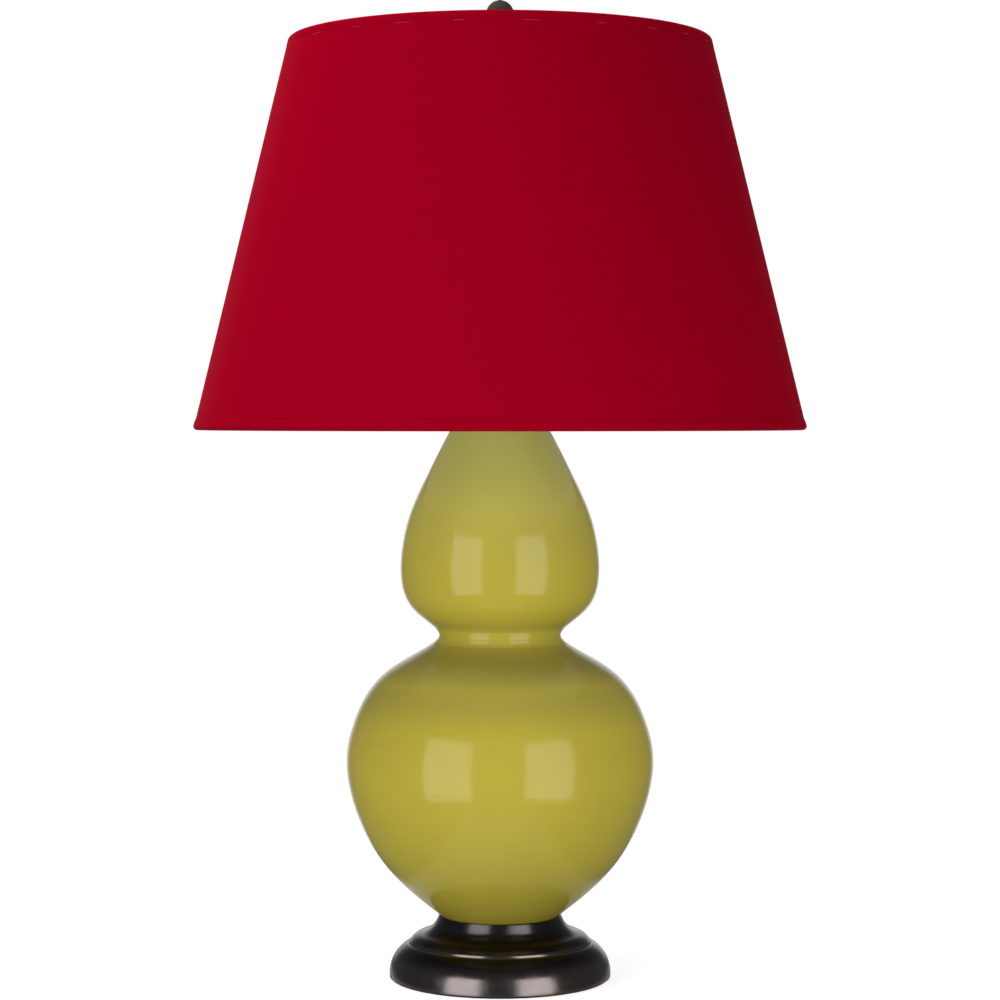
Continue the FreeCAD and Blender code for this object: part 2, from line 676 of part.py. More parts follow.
def make_neck():
    """The tube that covers the rod, and the ring that the saddle sits on."""
    tube = ring_outline("neck_tube_radius - neck_tube_wall", "neck_tube_radius", "0",
                        "neck_tube_height")
    piece(turned("neck_tube", tube, "cap_top_level"), "neck_tube")
    outline = [
        ("rod_hole", "0"),
        ("check_ring_radius", "0"), Bulge("check_ring_height/4"),
        ("check_ring_radius", "check_ring_height"),
        ("rod_hole", "check_ring_height"),
    ]
    piece(turned("check_ring", outline, "check_ring_level"), "check_ring")


def make_saddle():
    """The bent strip with a prong on each arm for the harp."""
    outside = "harp_half_span + strip_thickness/2"
    inside = "harp_half_span - strip_thickness/2"
    inner_bend = "(strip_bend - strip_thickness)"
    outline = [
        (f"-({outside}) + strip_bend", "0"),
        (f"{outside} - strip_bend", "0"), Bulge(f"strip_bend*{QUARTER}"),
        (outside, "strip_bend"),
        (outside, "arm_height"),
        (inside, "arm_height"),
        (inside, "strip_bend"), Bulge(f"-{inner_bend}*{QUARTER}"),
        (f"{inside} - {inner_bend}", "strip_thickness"),
        (f"-({inside}) + {inner_bend}", "strip_thickness"), Bulge(f"-{inner_bend}*{QUARTER}"),
        (f"-({inside})", "strip_bend"),
        (f"-({inside})", "arm_height"),
        (f"-({outside})", "arm_height"),
        (f"-({outside})", "strip_bend"), Bulge(f"strip_bend*{QUARTER}"),
    ]
    strip = new_body("saddle_strip", "strip_level")
    sketch = sketch_on(strip, "saddle_strip_outline")
    draw(sketch, outline)
    pad = strip.newObject("PartDesign::Pad", "saddle_strip_pad")
    pad.Profile = sketch
    pad.SideType = "Symmetric"
    bind(pad, Length="strip_width")
    prongs = [
        cylinder(f"saddle_prong_{side}", "wire_radius", "prong_height + strip_thickness",
                 x=x, z="strip_level + arm_height - strip_thickness")
        for side, x in (("left", "-harp_half_span"), ("right", "harp_half_span"))]
    whole = fuse("saddle_with_prongs", strip, *prongs)
    hole = cylinder("saddle_hole", "rod_hole", "strip_thickness*3",
                    z="strip_level - strip_thickness")
    piece(cut(whole, hole, "harp_saddle"), "harp_saddle")


# ------------------------------------------------------------------------ harp

def make_harp():
    """The wire bow: straight feet, a flare on each side and a rounded top."""
    side = "leg_length + flare_height"
    shoulder = "harp_rise - bow_radius"
    middle_width = "harp_half_span + flare_width/2"
    middle_height = "leg_length + flare_height/2"
    chord = "sqrt(flare_width*flare_width + flare_height*flare_height)/2"
    rise = f"(flare_radius - sqrt(flare_radius*flare_radius - ({chord})*({chord})/4))"
    corner = f"bow_radius*{QUARTER}"
    right = [
        ("harp_half_span", "0"),
        ("harp_half_span", "leg_length"), Bulge(f"-{rise}"),
        (middle_width, middle_height), Bulge(rise),
        ("harp_half_width", side),
        ("harp_half_width", shoulder), Bulge(corner),
        ("harp_half_width - bow_radius", "harp_rise"),
    ]
    left = [
        ("bow_radius - harp_half_width", "harp_rise"), Bulge(corner),
        ("-harp_half_width", shoulder),
        ("-harp_half_width", side), Bulge(rise),
        (f"-({middle_width})", middle_height), Bulge(f"-{rise}"),
        ("-harp_half_span", "leg_length"),
        ("-harp_half_span", "0"),
    ]
    bow = new_body("harp_bow", "harp_foot_level")
    add_wire(bow, "wire", right + left, "wire_radius", "XY_Plane",
             ("harp_half_span", "0", "0"))
    piece(bow, "harp_bow")


def make_bracket():
    """The block crimped on the top of the bow, with a hole for the stud's pivot."""
    block = DOC.addObject("Part::Box", "bracket_block")
    bind(block, Length="bracket_length", Width="bracket_width",
         Height="bracket_below + bracket_above")
    place(block, "-bracket_length/2", "-bracket_width/2", "bow_level - bracket_below")
    rounded = DOC.addObject("Part::Fillet", "bracket_rounded")
    rounded.Base = block
    DOC.recompute()
    upright = [number for number, edge in enumerate(block.Shape.Edges, start=1)
               if edge.BoundBox.ZLength > edge.BoundBox.XLength + edge.BoundBox.YLength]
    rounding = value("bracket_rounding")
    rounded.Edges = [(number, rounding, rounding) for number in upright]
    wireway = cylinder("bracket_wireway", "wire_radius + fit_gap/2", "bracket_length*2",
                       x="-bracket_length", z="bow_level", turn=TO_RIGHT)
    pivot = cylinder("bracket_pivot_hole", "pivot_radius + fit_gap", "pivot_depth*2",
                     z="bow_level + bracket_above - pivot_depth")
    piece(cut(cut(rounded, wireway, "bracket_bored"), pivot, "harp_bracket"), "harp_bracket")


def make_ferrules():
    """The two tubes that slide down over the joints of harp and saddle."""
    outline = [
        ("ferrule_bore", "0"),
        ("ferrule_bore + ferrule_wall", "0"),
        ("ferrule_bore + ferrule_wall", "ferrule_length - ferrule_rounding"),
        Bulge(f"ferrule_rounding*{QUARTER}"),
        ("ferrule_bore + ferrule_wall - ferrule_rounding", "ferrule_length"),
        ("ferrule_bore", "ferrule_length"),
    ]
    for side, x in (("left", "-harp_half_span"), ("right", "harp_half_span")):
        ferrule = turned(f"ferrule_{side}", outline)
        place(ferrule, x=x, z="ferrule_level")
        piece(ferrule, f"ferrule_{side}")


def make_stud():
    """The swivelling stud: pivot, flange that carries the shade, and threaded end."""
    outline = [
        ("0", "-pivot_depth - seat_gap/2"),
        ("pivot_radius", "-pivot_depth - seat_gap/2"),
        ("pivot_radius", "0"),
        ("stud_flange_radius", "0"),
        ("stud_flange_radius", "stud_flange_height"),
        ("stud_radius", "stud_flange_height"),
        ("stud_radius", "stud_flange_height + stud_height - stud_chamfer"),
        ("stud_radius - stud_chamfer", "stud_flange_height + stud_height"),
        ("0", "stud_flange_height + stud_height"),
    ]
    piece(turned("swivel_stud", outline, "stud_level"), "swivel_stud")


# ----------------------------------------------------------------- lamp holder

def make_socket_cap():
    """The drawn cup screwed on the rod, open at the top."""
    outer_bend = f"cap_cup_shoulder*{QUARTER}"
    inner_bend = f"(cap_cup_shoulder - cap_cup_wall)*{QUARTER}"
    outline = [
        ("rod_hole", "0"),
        ("cup_outer - cap_cup_shoulder", "0"), Bulge(outer_bend),
        ("cup_outer", "cap_cup_shoulder"),
        ("cup_outer", "cap_cup_height"),
        ("cup_inner", "cap_cup_height"),
        ("cup_inner", "cap_cup_shoulder"), Bulge(f"-{inner_bend}"),
        ("cup_outer - cap_cup_shoulder", "cap_cup_wall"),
        ("rod_hole", "cap_cup_wall"),
    ]
    piece(turned("socket_cap", outline, "saddle_level"), "socket_cap")


def with_stem_window(body, name):
    """The body with the round window that the switch stem passes through."""
    window = cylinder(f"{name}_window", "stem_radius + stem_window", "cup_outer*2",
                      z="saddle_level + switch_level", turn=TO_FRONT)
    return piece(cut(body, window, name), name)


def make_socket_shell():
    """The outer shell of the lamp holder, with a rolled mouth."""
    outline = [
        ("shell_inner", "shell_foot"),
        ("shell_outer", "shell_foot"),
        ("shell_outer", "shell_top - shell_bead*2"), Bulge("shell_bead_bulge"),
        ("shell_outer", "shell_top"),
        ("shell_inner", "shell_top"),
    ]
    with_stem_window(turned("socket_shell_turned", outline, "saddle_level"), "socket_shell")


def make_sleeve():
    """The insulating tube between the shell and the live parts."""
    outline = ring_outline("sleeve_inner", "sleeve_inner + sleeve_wall", "shell_foot",
                           "shell_top - shell_bead")
    with_stem_window(turned("insulating_sleeve_turned", outline, "saddle_level"),
                     "insulating_sleeve")


def make_core():
    """The moulded core that holds the switch, the terminals and the threaded shell."""
    outline = [
        ("0", "core_foot"),
        ("waist_core_radius", "core_foot"),
        ("waist_core_radius", "core_step"),
        ("core_radius", "core_step"),
        ("core_radius", "core_top"),
        ("0", "core_top"),
    ]
    core = turned("socket_core_turned", outline, "saddle_level")
    stem_bore = cylinder("core_stem_bore", "stem_radius + fit_gap", "core_radius*2",
                         y="-stem_inner_end + seat_gap", z="saddle_level + switch_level",
                         turn=TO_FRONT)
    screw_bore = cylinder("core_screw_bore", "terminal_shank_radius + fit_gap",
                          "core_radius*4", x="-core_radius*2",
                          z="saddle_level + terminal_level", turn=TO_RIGHT)
    piece(cut(cut(core, stem_bore, "core_bored"), screw_bore, "socket_core"), "socket_core")


def make_terminal_screws():
    """One wire clamp screw on each side of the core."""
    outline = [
        ("0", "-terminal_shank_length"),
        ("terminal_shank_radius", "-terminal_shank_length"),
        ("terminal_shank_radius", "0"),
        ("terminal_head_radius", "0"),
        ("terminal_head_radius", "terminal_head_height"),
        ("0", "terminal_head_height"),
    ]
    screws = []
    for side, x, turn in (("left", "-waist_core_radius", TO_LEFT),
                          ("right", "waist_core_radius", TO_RIGHT)):
        screw = turned(f"terminal_screw_{side}", outline)
        place(screw, x=x, z="saddle_level + terminal_level", turn=turn)
        screws.append(screw)
    pair = DOC.addObject("Part::Compound", "terminal_screws")
    pair.Links = screws
    piece(pair, "terminal_screws")


def make_screw_shell():
    """The threaded shell that the bulb is screwed into."""
    outline = [
        ("screw_shell_web", "core_top"),
        ("screw_shell_inner + screw_shell_wall", "core_top"),
        ("screw_shell_inner + screw_shell_wall", "screw_shell_top"),
        ("screw_shell_inner", "screw_shell_top"),
        ("screw_shell_inner", "core_top + screw_shell_wall"),
        ("screw_shell_web", "core_top + screw_shell_wall"),
    ]
    piece(turned("screw_shell", outline, "saddle_level"), "screw_shell")


def make_centre_contact():
    """The spring contact under the tip of the bulb."""
    outline = [
        ("0", "core_top"),
        ("contact_radius", "core_top"),
        ("contact_radius", "core_top + contact_leaf"),
        ("contact_radius/2", "core_top + contact_height"),
        ("0", "core_top + contact_height"),
    ]
    piece(turned("centre_contact", outline, "saddle_level"), "centre_contact")


def make_switch():
    """The stem of the turn switch and its fluted knob."""
    stem_length = "knob_start + knob_grip - stem_inner_end"
    stem = cylinder("switch_stem", "stem_radius", stem_length, y="-stem_inner_end",
                    z="saddle_level + switch_level", turn=TO_FRONT)
    piece(stem, "switch_stem")
    bore = "stem_radius + fit_gap"
    outline = [
        (bore, "0"),
        ("knob_radius", "0"),
        ("knob_radius", "knob_length/3"),
        ("knob_end_radius", "knob_length - knob_rounding"), Bulge(f"knob_rounding*{QUARTER}"),
        ("knob_end_radius - knob_rounding", "knob_length"),
        ("0", "knob_length"),
        ("0", "knob_grip + fit_gap"),
        (bore, "knob_grip + fit_gap"),
    ]
    knob = new_body("switch_knob")
    place(knob, y="-knob_start", z="saddle_level + switch_level", turn=TO_FRONT)
    add_turning(knob, outline)
    sketch = sketch_on(knob, "switch_knob_flute_outline", "XY_Plane")
    draw_circle(sketch, "knob_radius", "0", "flute_radius")
    flute = knob.newObject("PartDesign::Pocket", "switch_knob_flute")
    flute.Profile = sketch
    flute.Reversed = True
    bind(flute, Length="knob_length*2")
    flutes = knob.newObject("PartDesign::PolarPattern", "switch_knob_flutes")
    flutes.Originals = [flute]
    flutes.Axis = (origin_plane(knob, "Z_Axis"), [""])
    flutes.Angle = 360
    flutes.Occurrences = FLUTE_COUNT
    knob.Tip = flutes
    piece(knob, "switch_knob")


# ------------------------------------------------------------------------ bulb

def make_bulb_cap():
    """The bulb's threaded cap with its insulator, and the tip contact."""
    outline = [
        ("0", "0"),
        ("tip_radius", "0"),
        ("insulator_radius", "insulator_height"),
        ("bulb_cap_radius", "insulator_height"),
        ("bulb_cap_radius", "bulb_cap_height - insulator_height"),
        ("bulb_rim_radius", "bulb_cap_height - insulator_height/2"),
        ("bulb_rim_radius", "bulb_cap_height"),
        ("bulb_cap_radius - bulb_cap_wall", "bulb_cap_height"),
        ("bulb_cap_radius - bulb_cap_wall", "insulator_height + bulb_cap_wall"),
        ("0", "insulator_height + bulb_cap_wall"),
    ]
    piece(turned("bulb_cap", outline, "bulb_cap_level"), "bulb_cap")
    tip = [
        ("0", "0"), Bulge("tip_bulge"),
        ("tip_radius", "tip_dome_height"),
        ("tip_radius", "tip_height"),
        ("0", "tip_height"),
    ]
    piece(turned("bulb_contact", tip, "tip_level"), "bulb_contact")


def make_bulb_glass():
    """The blown envelope: one smooth outline from neck to crown, with an even wall."""
    outer = [
        ("glass_neck_radius", "glass_neck_height"),
        ("glass_throat_radius", "glass_throat_height"),
        ("glass_flank_radius", "glass_flank_height"),
        ("glass_belly_radius", "glass_belly_height"),
        ("glass_crown_radius", "glass_height"),
    ]
    inner = [(f"{radius} - glass_wall", height) for radius, height in reversed(outer[:-1])]
    inner.insert(0, ("glass_crown_radius - glass_wall", "glass_height - glass_wall"))
    outline = [
        ("glass_neck_radius", "0"), Rings(*outer),
        ("0", "glass_height"),
        ("0", "glass_height - glass_wall"), Rings(*inner),
        ("glass_neck_radius - glass_wall", "0"),
    ]
    piece(turned("bulb_glass", outline, "glass_level"), "bulb_glass")


def make_bulb_inside():
    """The flared glass stem and the filament on its two leads."""
    outline = [
        ("0", "0"),
        ("glass_neck_radius - glass_wall - fit_gap", "0"),
        ("glass_neck_radius - glass_wall - fit_gap", "stem_glass_skirt"),
        Bulge("-stem_glass_radius"),
        ("stem_glass_radius", "stem_glass_flare"),
        ("stem_glass_radius", "stem_glass_height"),
        ("0", "stem_glass_height"),
    ]
    piece(turned("bulb_stem", outline, "glass_level"), "bulb_stem")
    foot = "glass_level + stem_glass_height"
    leads = [
        cylinder(f"filament_lead_{side}", "filament_wire", "filament_height", x=x,
                 z=f"{foot} + fit_gap")
        for side, x in (("left", "-lead_offset"), ("right", "lead_offset"))]
    coil = cylinder("filament_coil", "coil_radius", "filament_width",
                    x="-filament_width/2", z=f"{foot} + fit_gap + filament_height",
                    turn=TO_RIGHT)
    filament = fuse("bulb_filament", *leads, coil)
    piece(filament, "bulb_filament")


# ----------------------------------------------------------------------- shade

def cone(height, depth):
    """Radius of the shade at a height above its lower edge, this far inside its face."""
    return f"shade_bottom_radius - shade_slope*({height}) - ({depth})"


def cone_band(face, back, low, high):
    """The outline of a conical layer between two depths and two heights."""
    return [
        (cone(low, back), low),
        (cone(low, face), low),
        (cone(high, face), high),
        (cone(high, back), high),
    ]


def make_shade_layers():
    """The stiff lining and the cloth bonded over it."""
    low = "trim_thickness + glue_gap"
    high = "shade_height - trim_thickness - glue_gap"
    liner = cone_band("liner_face", "liner_back", low, high)
    piece(turned("shade_liner", liner, "shade_level"), "shade_liner")
    fabric = cone_band("trim_thickness + glue_gap/2", "fabric_back", low, high)
    piece(turned("shade_fabric", fabric, "shade_level"), "shade_fabric")


def make_trims():
    """The folded edgings, each a strip wrapped over an edge of the shade."""
    lower_back = "ring_back + trim_thickness"
    lower = [
        (cone("0", lower_back), "0"),
        (cone("0", "0"), "0"),
        (cone("lower_trim_height", "0"), "lower_trim_height"),
        (cone("lower_trim_height", "trim_thickness"), "lower_trim_height"),
        (cone("trim_thickness", "trim_thickness"), "trim_thickness"),
        (cone("trim_thickness", "ring_back"), "trim_thickness"),
        (cone("lower_trim_return", "ring_back"), "lower_trim_return"),
        (cone("lower_trim_return", lower_back), "lower_trim_return"),
    ]
    piece(turned("bottom_trim", lower, "shade_level"), "bottom_trim")
    top = "shade_height"
    web = "shade_height - trim_thickness"
    skirt = "shade_height - upper_trim_height"
    back = "shade_height - upper_trim_return"
    inside = "liner_back + glue_gap"
    upper = [
        (cone(skirt, "trim_thickness"), skirt),
        (cone(skirt, "0"), skirt),
        (cone(top, "0"), top),
        (cone(top, f"{inside} + trim_thickness"), top),
        (cone(back, f"{inside} + trim_thickness"), back),
        (cone(back, inside), back),
        (cone(web, inside), web),
        (cone(web, "trim_thickness"), web),
    ]
    piece(turned("top_trim", upper, "shade_level"), "top_trim")


def add_ring(body, radius, height):
    """Adds a ring of frame wire to a body."""
    sketch = sketch_on(body, f"{body.Name}_ring_outline")
    draw_circle(sketch, radius, height, "ring_wire_radius")
    ring = body.newObject("PartDesign::Revolution", f"{body.Name}_ring")
    ring.Profile = sketch
    ring.ReferenceAxis = (sketch, ["V_Axis"])
    ring.Angle = 360


def make_bottom_ring():
    """The wire ring in the fold of the lower edging."""
    ring = new_body("bottom_ring", "shade_level")
    height = "trim_thickness + glue_gap + ring_wire_radius"
    add_ring(ring, cone(height, "ring_depth"), height)
    piece(ring, "bottom_ring")


def make_spider():
    """The fitter: upper frame ring, hub washer and three cranked arms between them."""
    spider = new_body("spider_fitter", "shade_level")
    hub = ring_outline("stud_radius + hub_clearance", "hub_radius",
                       "arm_level - hub_thickness/2", "arm_level + hub_thickness/2")
    add_turning(spider, hub, "hub")
    ring_radius = cone("upper_ring_level", "ring_depth")
    bend_end = f"{ring_radius} - spider_bend_from_ring"
    bend_start = f"{bend_end} - bend_run"
    rise = "spider_drop*(1 - sqrt(3)/2)"
    path = [
        ("arm_root_radius", "arm_level"),
        (bend_start, "arm_level"), Bulge(rise),
        (f"{bend_end} - bend_run/2", "arm_level + spider_drop/2"), Bulge(f"-{rise}"),
        (bend_end, "upper_ring_level"),
        (ring_radius, "upper_ring_level"),
    ]
    arm = add_wire(spider, "arm", path, "ring_wire_radius", "YZ_Plane",
                   ("0", "arm_level", "arm_root_radius"))
    arms = spider.newObject("PartDesign::PolarPattern", "spider_fitter_arms")
    arms.Originals = [arm]
    arms.Axis = (origin_plane(spider, "Z_Axis"), [""])
    arms.Angle = 360
    arms.Occurrences = ARM_COUNT
    spider.Tip = arms
    add_ring(spider, ring_radius, "upper_ring_level")
    place(spider, z="shade_level", turn=ARM_TO_BACK)
    piece(spider, "spider_fitter")


# ---------------------------------------------------------------------- finial

def make_finial():
    """The turned ball finial, bored for its threaded insert."""
    bore_depth = "insert_length + seat_gap*2"
    foot = "finial_foot_height"
    cove = "finial_foot_height + finial_cove_height"
    ball_top = "nub_foot_level"
    nub_top = "finial_ball_height + finial_ball_radius + finial_nub_height"
    slant = "(ball_foot_radius - finial_nub_radius)"
    climb = "(nub_foot_level - ball_foot_level)"
    half = f"sqrt({slant}*{slant} + {climb}*{climb})/2"
    ball_rise = f"(finial_ball_radius - sqrt(finial_ball_radius^2 - ({half})^2))"
    outline = [
        ("finial_bore", "0"),
        ("finial_foot_radius - finial_foot_chamfer", "0"),
        ("finial_foot_radius", "finial_foot_chamfer"),
        ("finial_foot_radius", foot), Bulge("-finial_cove_depth"),
        ("finial_neck_radius", cove),
        ("finial_neck_radius", "collar_level"),
        ("finial_collar_radius", "collar_level + finial_collar_step"),
        Bulge("finial_collar_bulge"),
        ("finial_collar_radius", "ball_foot_level - finial_collar_step"),
        ("ball_foot_radius", "ball_foot_level"), Bulge(ball_rise),
        ("finial_nub_radius", ball_top), Bulge("finial_nub_height/3"),
        ("finial_nub_radius/2", nub_top),
        ("0", nub_top),
        ("0", bore_depth),
        ("finial_bore", bore_depth),
    ]
    piece(turned("finial_knob", outline, "finial_level"), "finial_knob")
    insert = ring_outline("insert_bore", "insert_radius", "0", "insert_length")
    piece(turned("finial_insert", insert, "finial_level + seat_gap"), "finial_insert")


# -------------------------------------------------------------------- assembly

def check_document():
    """Stops with a plain message if any object failed or any piece has no sound shape."""
    for thing in DOC.Objects:
        if "Invalid" in thing.State or "Error" in thing.State:
            raise RuntimeError(f"{thing.Name} failed: {thing.State}")
    for thing in PIECES:
        if thing.Shape.isNull() or not thing.Shape.isValid() or not thing.Shape.Solids:
            raise RuntimeError(f"{thing.Label} has no sound solid")


def write_pieces():
    """Writes one STEP file for each piece, named by its label."""
    os.makedirs("parts", exist_ok=True)
    for thing in PIECES:
        thing.Shape.exportStep(f"parts/{thing.Label}.step")
        box = thing.Shape.BoundBox
        print(f"{thing.Label}: {len(thing.Shape.Solids)} solid, {thing.Shape.Volume:.0f} mm3, "
              f"z {box.ZMin:.2f} to {box.ZMax:.2f}, width {box.XLength:.2f}")


make_felt()
make_base()
make_bushing()
make_rod_and_fasteners()
make_gasket()
make_gourd()
make_cap()
make_neck()
make_saddle()
make_harp()
make_bracket()
make_ferrules()
make_stud()
make_socket_cap()
make_socket_shell()
make_sleeve()
make_core()
make_terminal_screws()
make_screw_shell()
make_centre_contact()
make_switch()
make_bulb_cap()
make_bulb_glass()
make_bulb_inside()
make_shade_layers()
make_trims()
make_bottom_ring()
make_spider()
make_finial()
DOC.recompute()
check_document()
write_pieces()
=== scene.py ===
"""Double gourd table lamp, dressed for rendering.

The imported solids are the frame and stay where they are. Each sub-assembly below
keeps its own sizes, models the pieces that need more detail than their solid
has, and gives every piece its finish. Metres; the lamp stands on z = 0, +Z is up
along its axis and -Y is the front.
"""

import logging
import math
from collections.abc import Callable, Sequence
from dataclasses import dataclass, field
from enum import Enum
from typing import Any

import bmesh
import bpy
from mathutils import Euler, Matrix, Vector


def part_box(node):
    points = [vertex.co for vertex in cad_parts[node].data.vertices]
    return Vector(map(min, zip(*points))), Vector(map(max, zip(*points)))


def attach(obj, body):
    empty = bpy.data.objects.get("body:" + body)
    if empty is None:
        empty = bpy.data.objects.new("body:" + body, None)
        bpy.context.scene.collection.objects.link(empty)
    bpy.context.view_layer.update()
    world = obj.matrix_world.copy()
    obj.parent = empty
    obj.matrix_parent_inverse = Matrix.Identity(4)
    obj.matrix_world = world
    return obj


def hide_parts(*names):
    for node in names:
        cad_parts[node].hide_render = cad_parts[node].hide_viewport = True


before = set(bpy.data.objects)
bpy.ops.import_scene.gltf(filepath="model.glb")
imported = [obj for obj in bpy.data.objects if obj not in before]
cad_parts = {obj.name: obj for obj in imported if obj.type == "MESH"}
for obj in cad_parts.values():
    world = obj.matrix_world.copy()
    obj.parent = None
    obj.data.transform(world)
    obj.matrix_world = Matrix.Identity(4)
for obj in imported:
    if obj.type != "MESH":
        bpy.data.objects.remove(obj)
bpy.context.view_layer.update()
LOG = logging.getLogger("gourd_lamp")
MM = 0.001
WELD = 1e-7  # Points that lie closer than this are one.
SEAM_GAP = 0.0025  # The same between the turns of a thread, as a share of its pitch.
LEVEL_GAP = 1e-6  # How far off its level a cut point may lie.
UP = Vector((0.0, 0.0, 1.0))

Point = tuple[float, float]
Pair = tuple[float, float]
Colour = tuple[float, float, float]
Zones = tuple[tuple[float, float, float], ...]
WHITE: Colour = (1.0, 1.0, 1.0)


# --------------------------------------------------------------- shader maths

class Sock:
    """An output socket of a shader graph, with arithmetic."""

    def __init__(self, graph: "Graph", socket: bpy.types.NodeSocket) -> None:
        """Wraps one output socket of a graph."""
        self.graph = graph
        self.socket = socket

    def other(self, name: str) -> "Sock":
        """Another output of the same node, by name."""
        return Sock(self.graph, self.socket.node.outputs[name])

    def maths(self, operation: str, *values: "Sock | float") -> "Sock":
        """A Math node on these values."""
        return self.graph.node("ShaderNodeMath", {"operation": operation},
                               dict(enumerate(values)))

    def __add__(self, value: "Sock | float") -> "Sock":
        """Sum."""
        return self.maths("ADD", self, value)

    __radd__ = __add__

    def __sub__(self, value: "Sock | float") -> "Sock":
        """Difference."""
        return self.maths("SUBTRACT", self, value)

    def __rsub__(self, value: float) -> "Sock":
        """Difference from a number."""
        return self.maths("SUBTRACT", value, self)

    def __mul__(self, value: "Sock | float") -> "Sock":
        """Product."""
        return self.maths("MULTIPLY", self, value)

    __rmul__ = __mul__

    def __truediv__(self, value: "Sock | float") -> "Sock":
        """Quotient."""
        return self.maths("DIVIDE", self, value)

    def __pow__(self, value: float) -> "Sock":
        """Power."""
        return self.maths("POWER", self, value)

    def __abs__(self) -> "Sock":
        """Size without sign."""
        return self.maths("ABSOLUTE", self)

    def sine(self) -> "Sock":
        """Sine of an angle in radians."""
        return self.maths("SINE", self)

    def most(self, value: "Sock | float") -> "Sock":
        """The larger of two values."""
        return self.maths("MAXIMUM", self, value)

    def least(self, value: "Sock | float") -> "Sock":
        """The smaller of two values."""
        return self.maths("MINIMUM", self, value)

    def ease(self, low: float, high: float) -> "Sock":
        """A smooth step from 0 at low to 1 at high."""
        return self.graph.node(
            "ShaderNodeMapRange", {"interpolation_type": "SMOOTHSTEP"},
            {"Value": self, "From Min": low, "From Max": high})


class Graph:
    """The node tree of one material or of the world."""

    def __init__(self, tree: bpy.types.NodeTree) -> None:
        """Starts from an empty tree."""
        self.tree = tree
        tree.nodes.clear()

    def node(self, kind: str, settings: dict[str, Any] | None = None,
             inputs: dict[str | int, Any] | None = None, out: str | int = 0) -> Sock:
        """Adds a node.

        Args:
            kind: The node's type.
            settings: Attributes that are set first.
            inputs: A value or a Sock for each input, by name or index.
            out: The output that is wanted.

        Returns:
            That output.
        """
        made = self.tree.nodes.new(kind)
        for name, value in (settings or {}).items():
            setattr(made, name, value)
        for key, value in (inputs or {}).items():
            if isinstance(value, Sock):
                self.tree.links.new(value.socket, made.inputs[key])
            elif isinstance(value, tuple) and made.inputs[key].type == "RGBA":
                made.inputs[key].default_value = (*value, 1.0)
            else:
                made.inputs[key].default_value = value
        return Sock(self, made.outputs[out] if made.outputs else None)

    def place(self, source: str = "Object") -> Sock:
        """The surface point, in object or UV coordinates."""
        return self.node("ShaderNodeTexCoord", out=source)

    def axes(self, vector: Sock) -> tuple[Sock, Sock, Sock]:
        """The three parts of a vector."""
        parts = self.node("ShaderNodeSeparateXYZ", inputs={0: vector})
        return parts, parts.other("Y"), parts.other("Z")

    def noise(self, vector: Sock, scale: float, detail: float = 2.0,
              roughness: float = 0.5) -> Sock:
        """Smooth noise from 0 to 1, with its waves per metre and its octaves."""
        return self.node("ShaderNodeTexNoise", inputs={
            "Vector": vector, "Scale": scale, "Detail": detail, "Roughness": roughness})

    def streaks(self, vector: Sock, waves: tuple[float, float, float], detail: float = 2.0,
                roughness: float = 0.5) -> Sock:
        """Noise with its own waves per metre along each axis."""
        drawn = self.node("ShaderNodeMapping", inputs={"Vector": vector, "Scale": waves})
        return self.noise(drawn, 1.0, detail, roughness)

    def bands(self, height: Sock, zones: Zones) -> Sock:
        """Soft bands round the axis, where the strongest shows.

        Args:
            height: The height of the surface point.
            zones: Level, share and reach of each band.

        Returns:
            The share.
        """
        found = 0.0
        for level, share, reach in zones:
            found = ((1 - abs(height - level).ease(0.0, reach)) * share).most(found)
        return found

    def relief(self, height: Sock, zones: Zones) -> Sock:
        """Smooth steps of the skin over the height.

        Args:
            height: The height of the surface point.
            zones: From, to and rise of each step, in metres.

        Returns:
            The rise of the skin, in metres.
        """
        skin = 0.0
        for low, high, rise in zones:
            skin = height.ease(low, high) * rise + skin
        return skin

    def blend(self, factor: "Sock | float", first: "Sock | Colour",
              second: "Sock | Colour") -> Sock:
        """A mix of two colours."""
        return self.node("ShaderNodeMix", {"data_type": "RGBA"},
                         {0: factor, 6: first, 7: second}, out=2)

    def bump(self, height: Sock, depth: float, strength: float = 1.0) -> Sock:
        """A normal from a height, of which 1 stands for the depth in metres."""
        return self.node("ShaderNodeBump", inputs={
            "Height": height, "Distance": depth, "Strength": strength})

    def surface(self, **inputs: Any) -> None:
        """Ends the graph in a Principled surface, with underscores for spaces."""
        shader = self.node("ShaderNodeBsdfPrincipled", inputs={
            name.replace("_", " "): value for name, value in inputs.items()})
        self.node("ShaderNodeOutputMaterial", inputs={"Surface": shader})

    def glow(self, strength: float) -> Sock:
        """A shader that gives off white."""
        return self.node("ShaderNodeEmission", inputs={"Color": WHITE, "Strength": strength})

    def mix(self, factor: Sock, first: Sock, second: Sock) -> Sock:
        """A mix of two shaders."""
        return self.node("ShaderNodeMixShader", inputs={0: factor, 1: first, 2: second})

    def ray(self, kind: str) -> Sock:
        """Whether a ray is of a kind."""
        return self.node("ShaderNodeLightPath", out=f"Is {kind} Ray")

    def seen(self, gloss: "Sock | float") -> Sock:
        """How far a ray shows the background.

        Args:
            gloss: The share for glossy rays.

        Returns:
            1 for camera and transmission rays, the share for glossy rays, 0 for others.
        """
        path = self.ray("Camera")
        glossy = path.other("Is Glossy Ray") * gloss
        return path.most(glossy).most(path.other("Is Transmission Ray"))


# ------------------------------------------------------------------- finishes

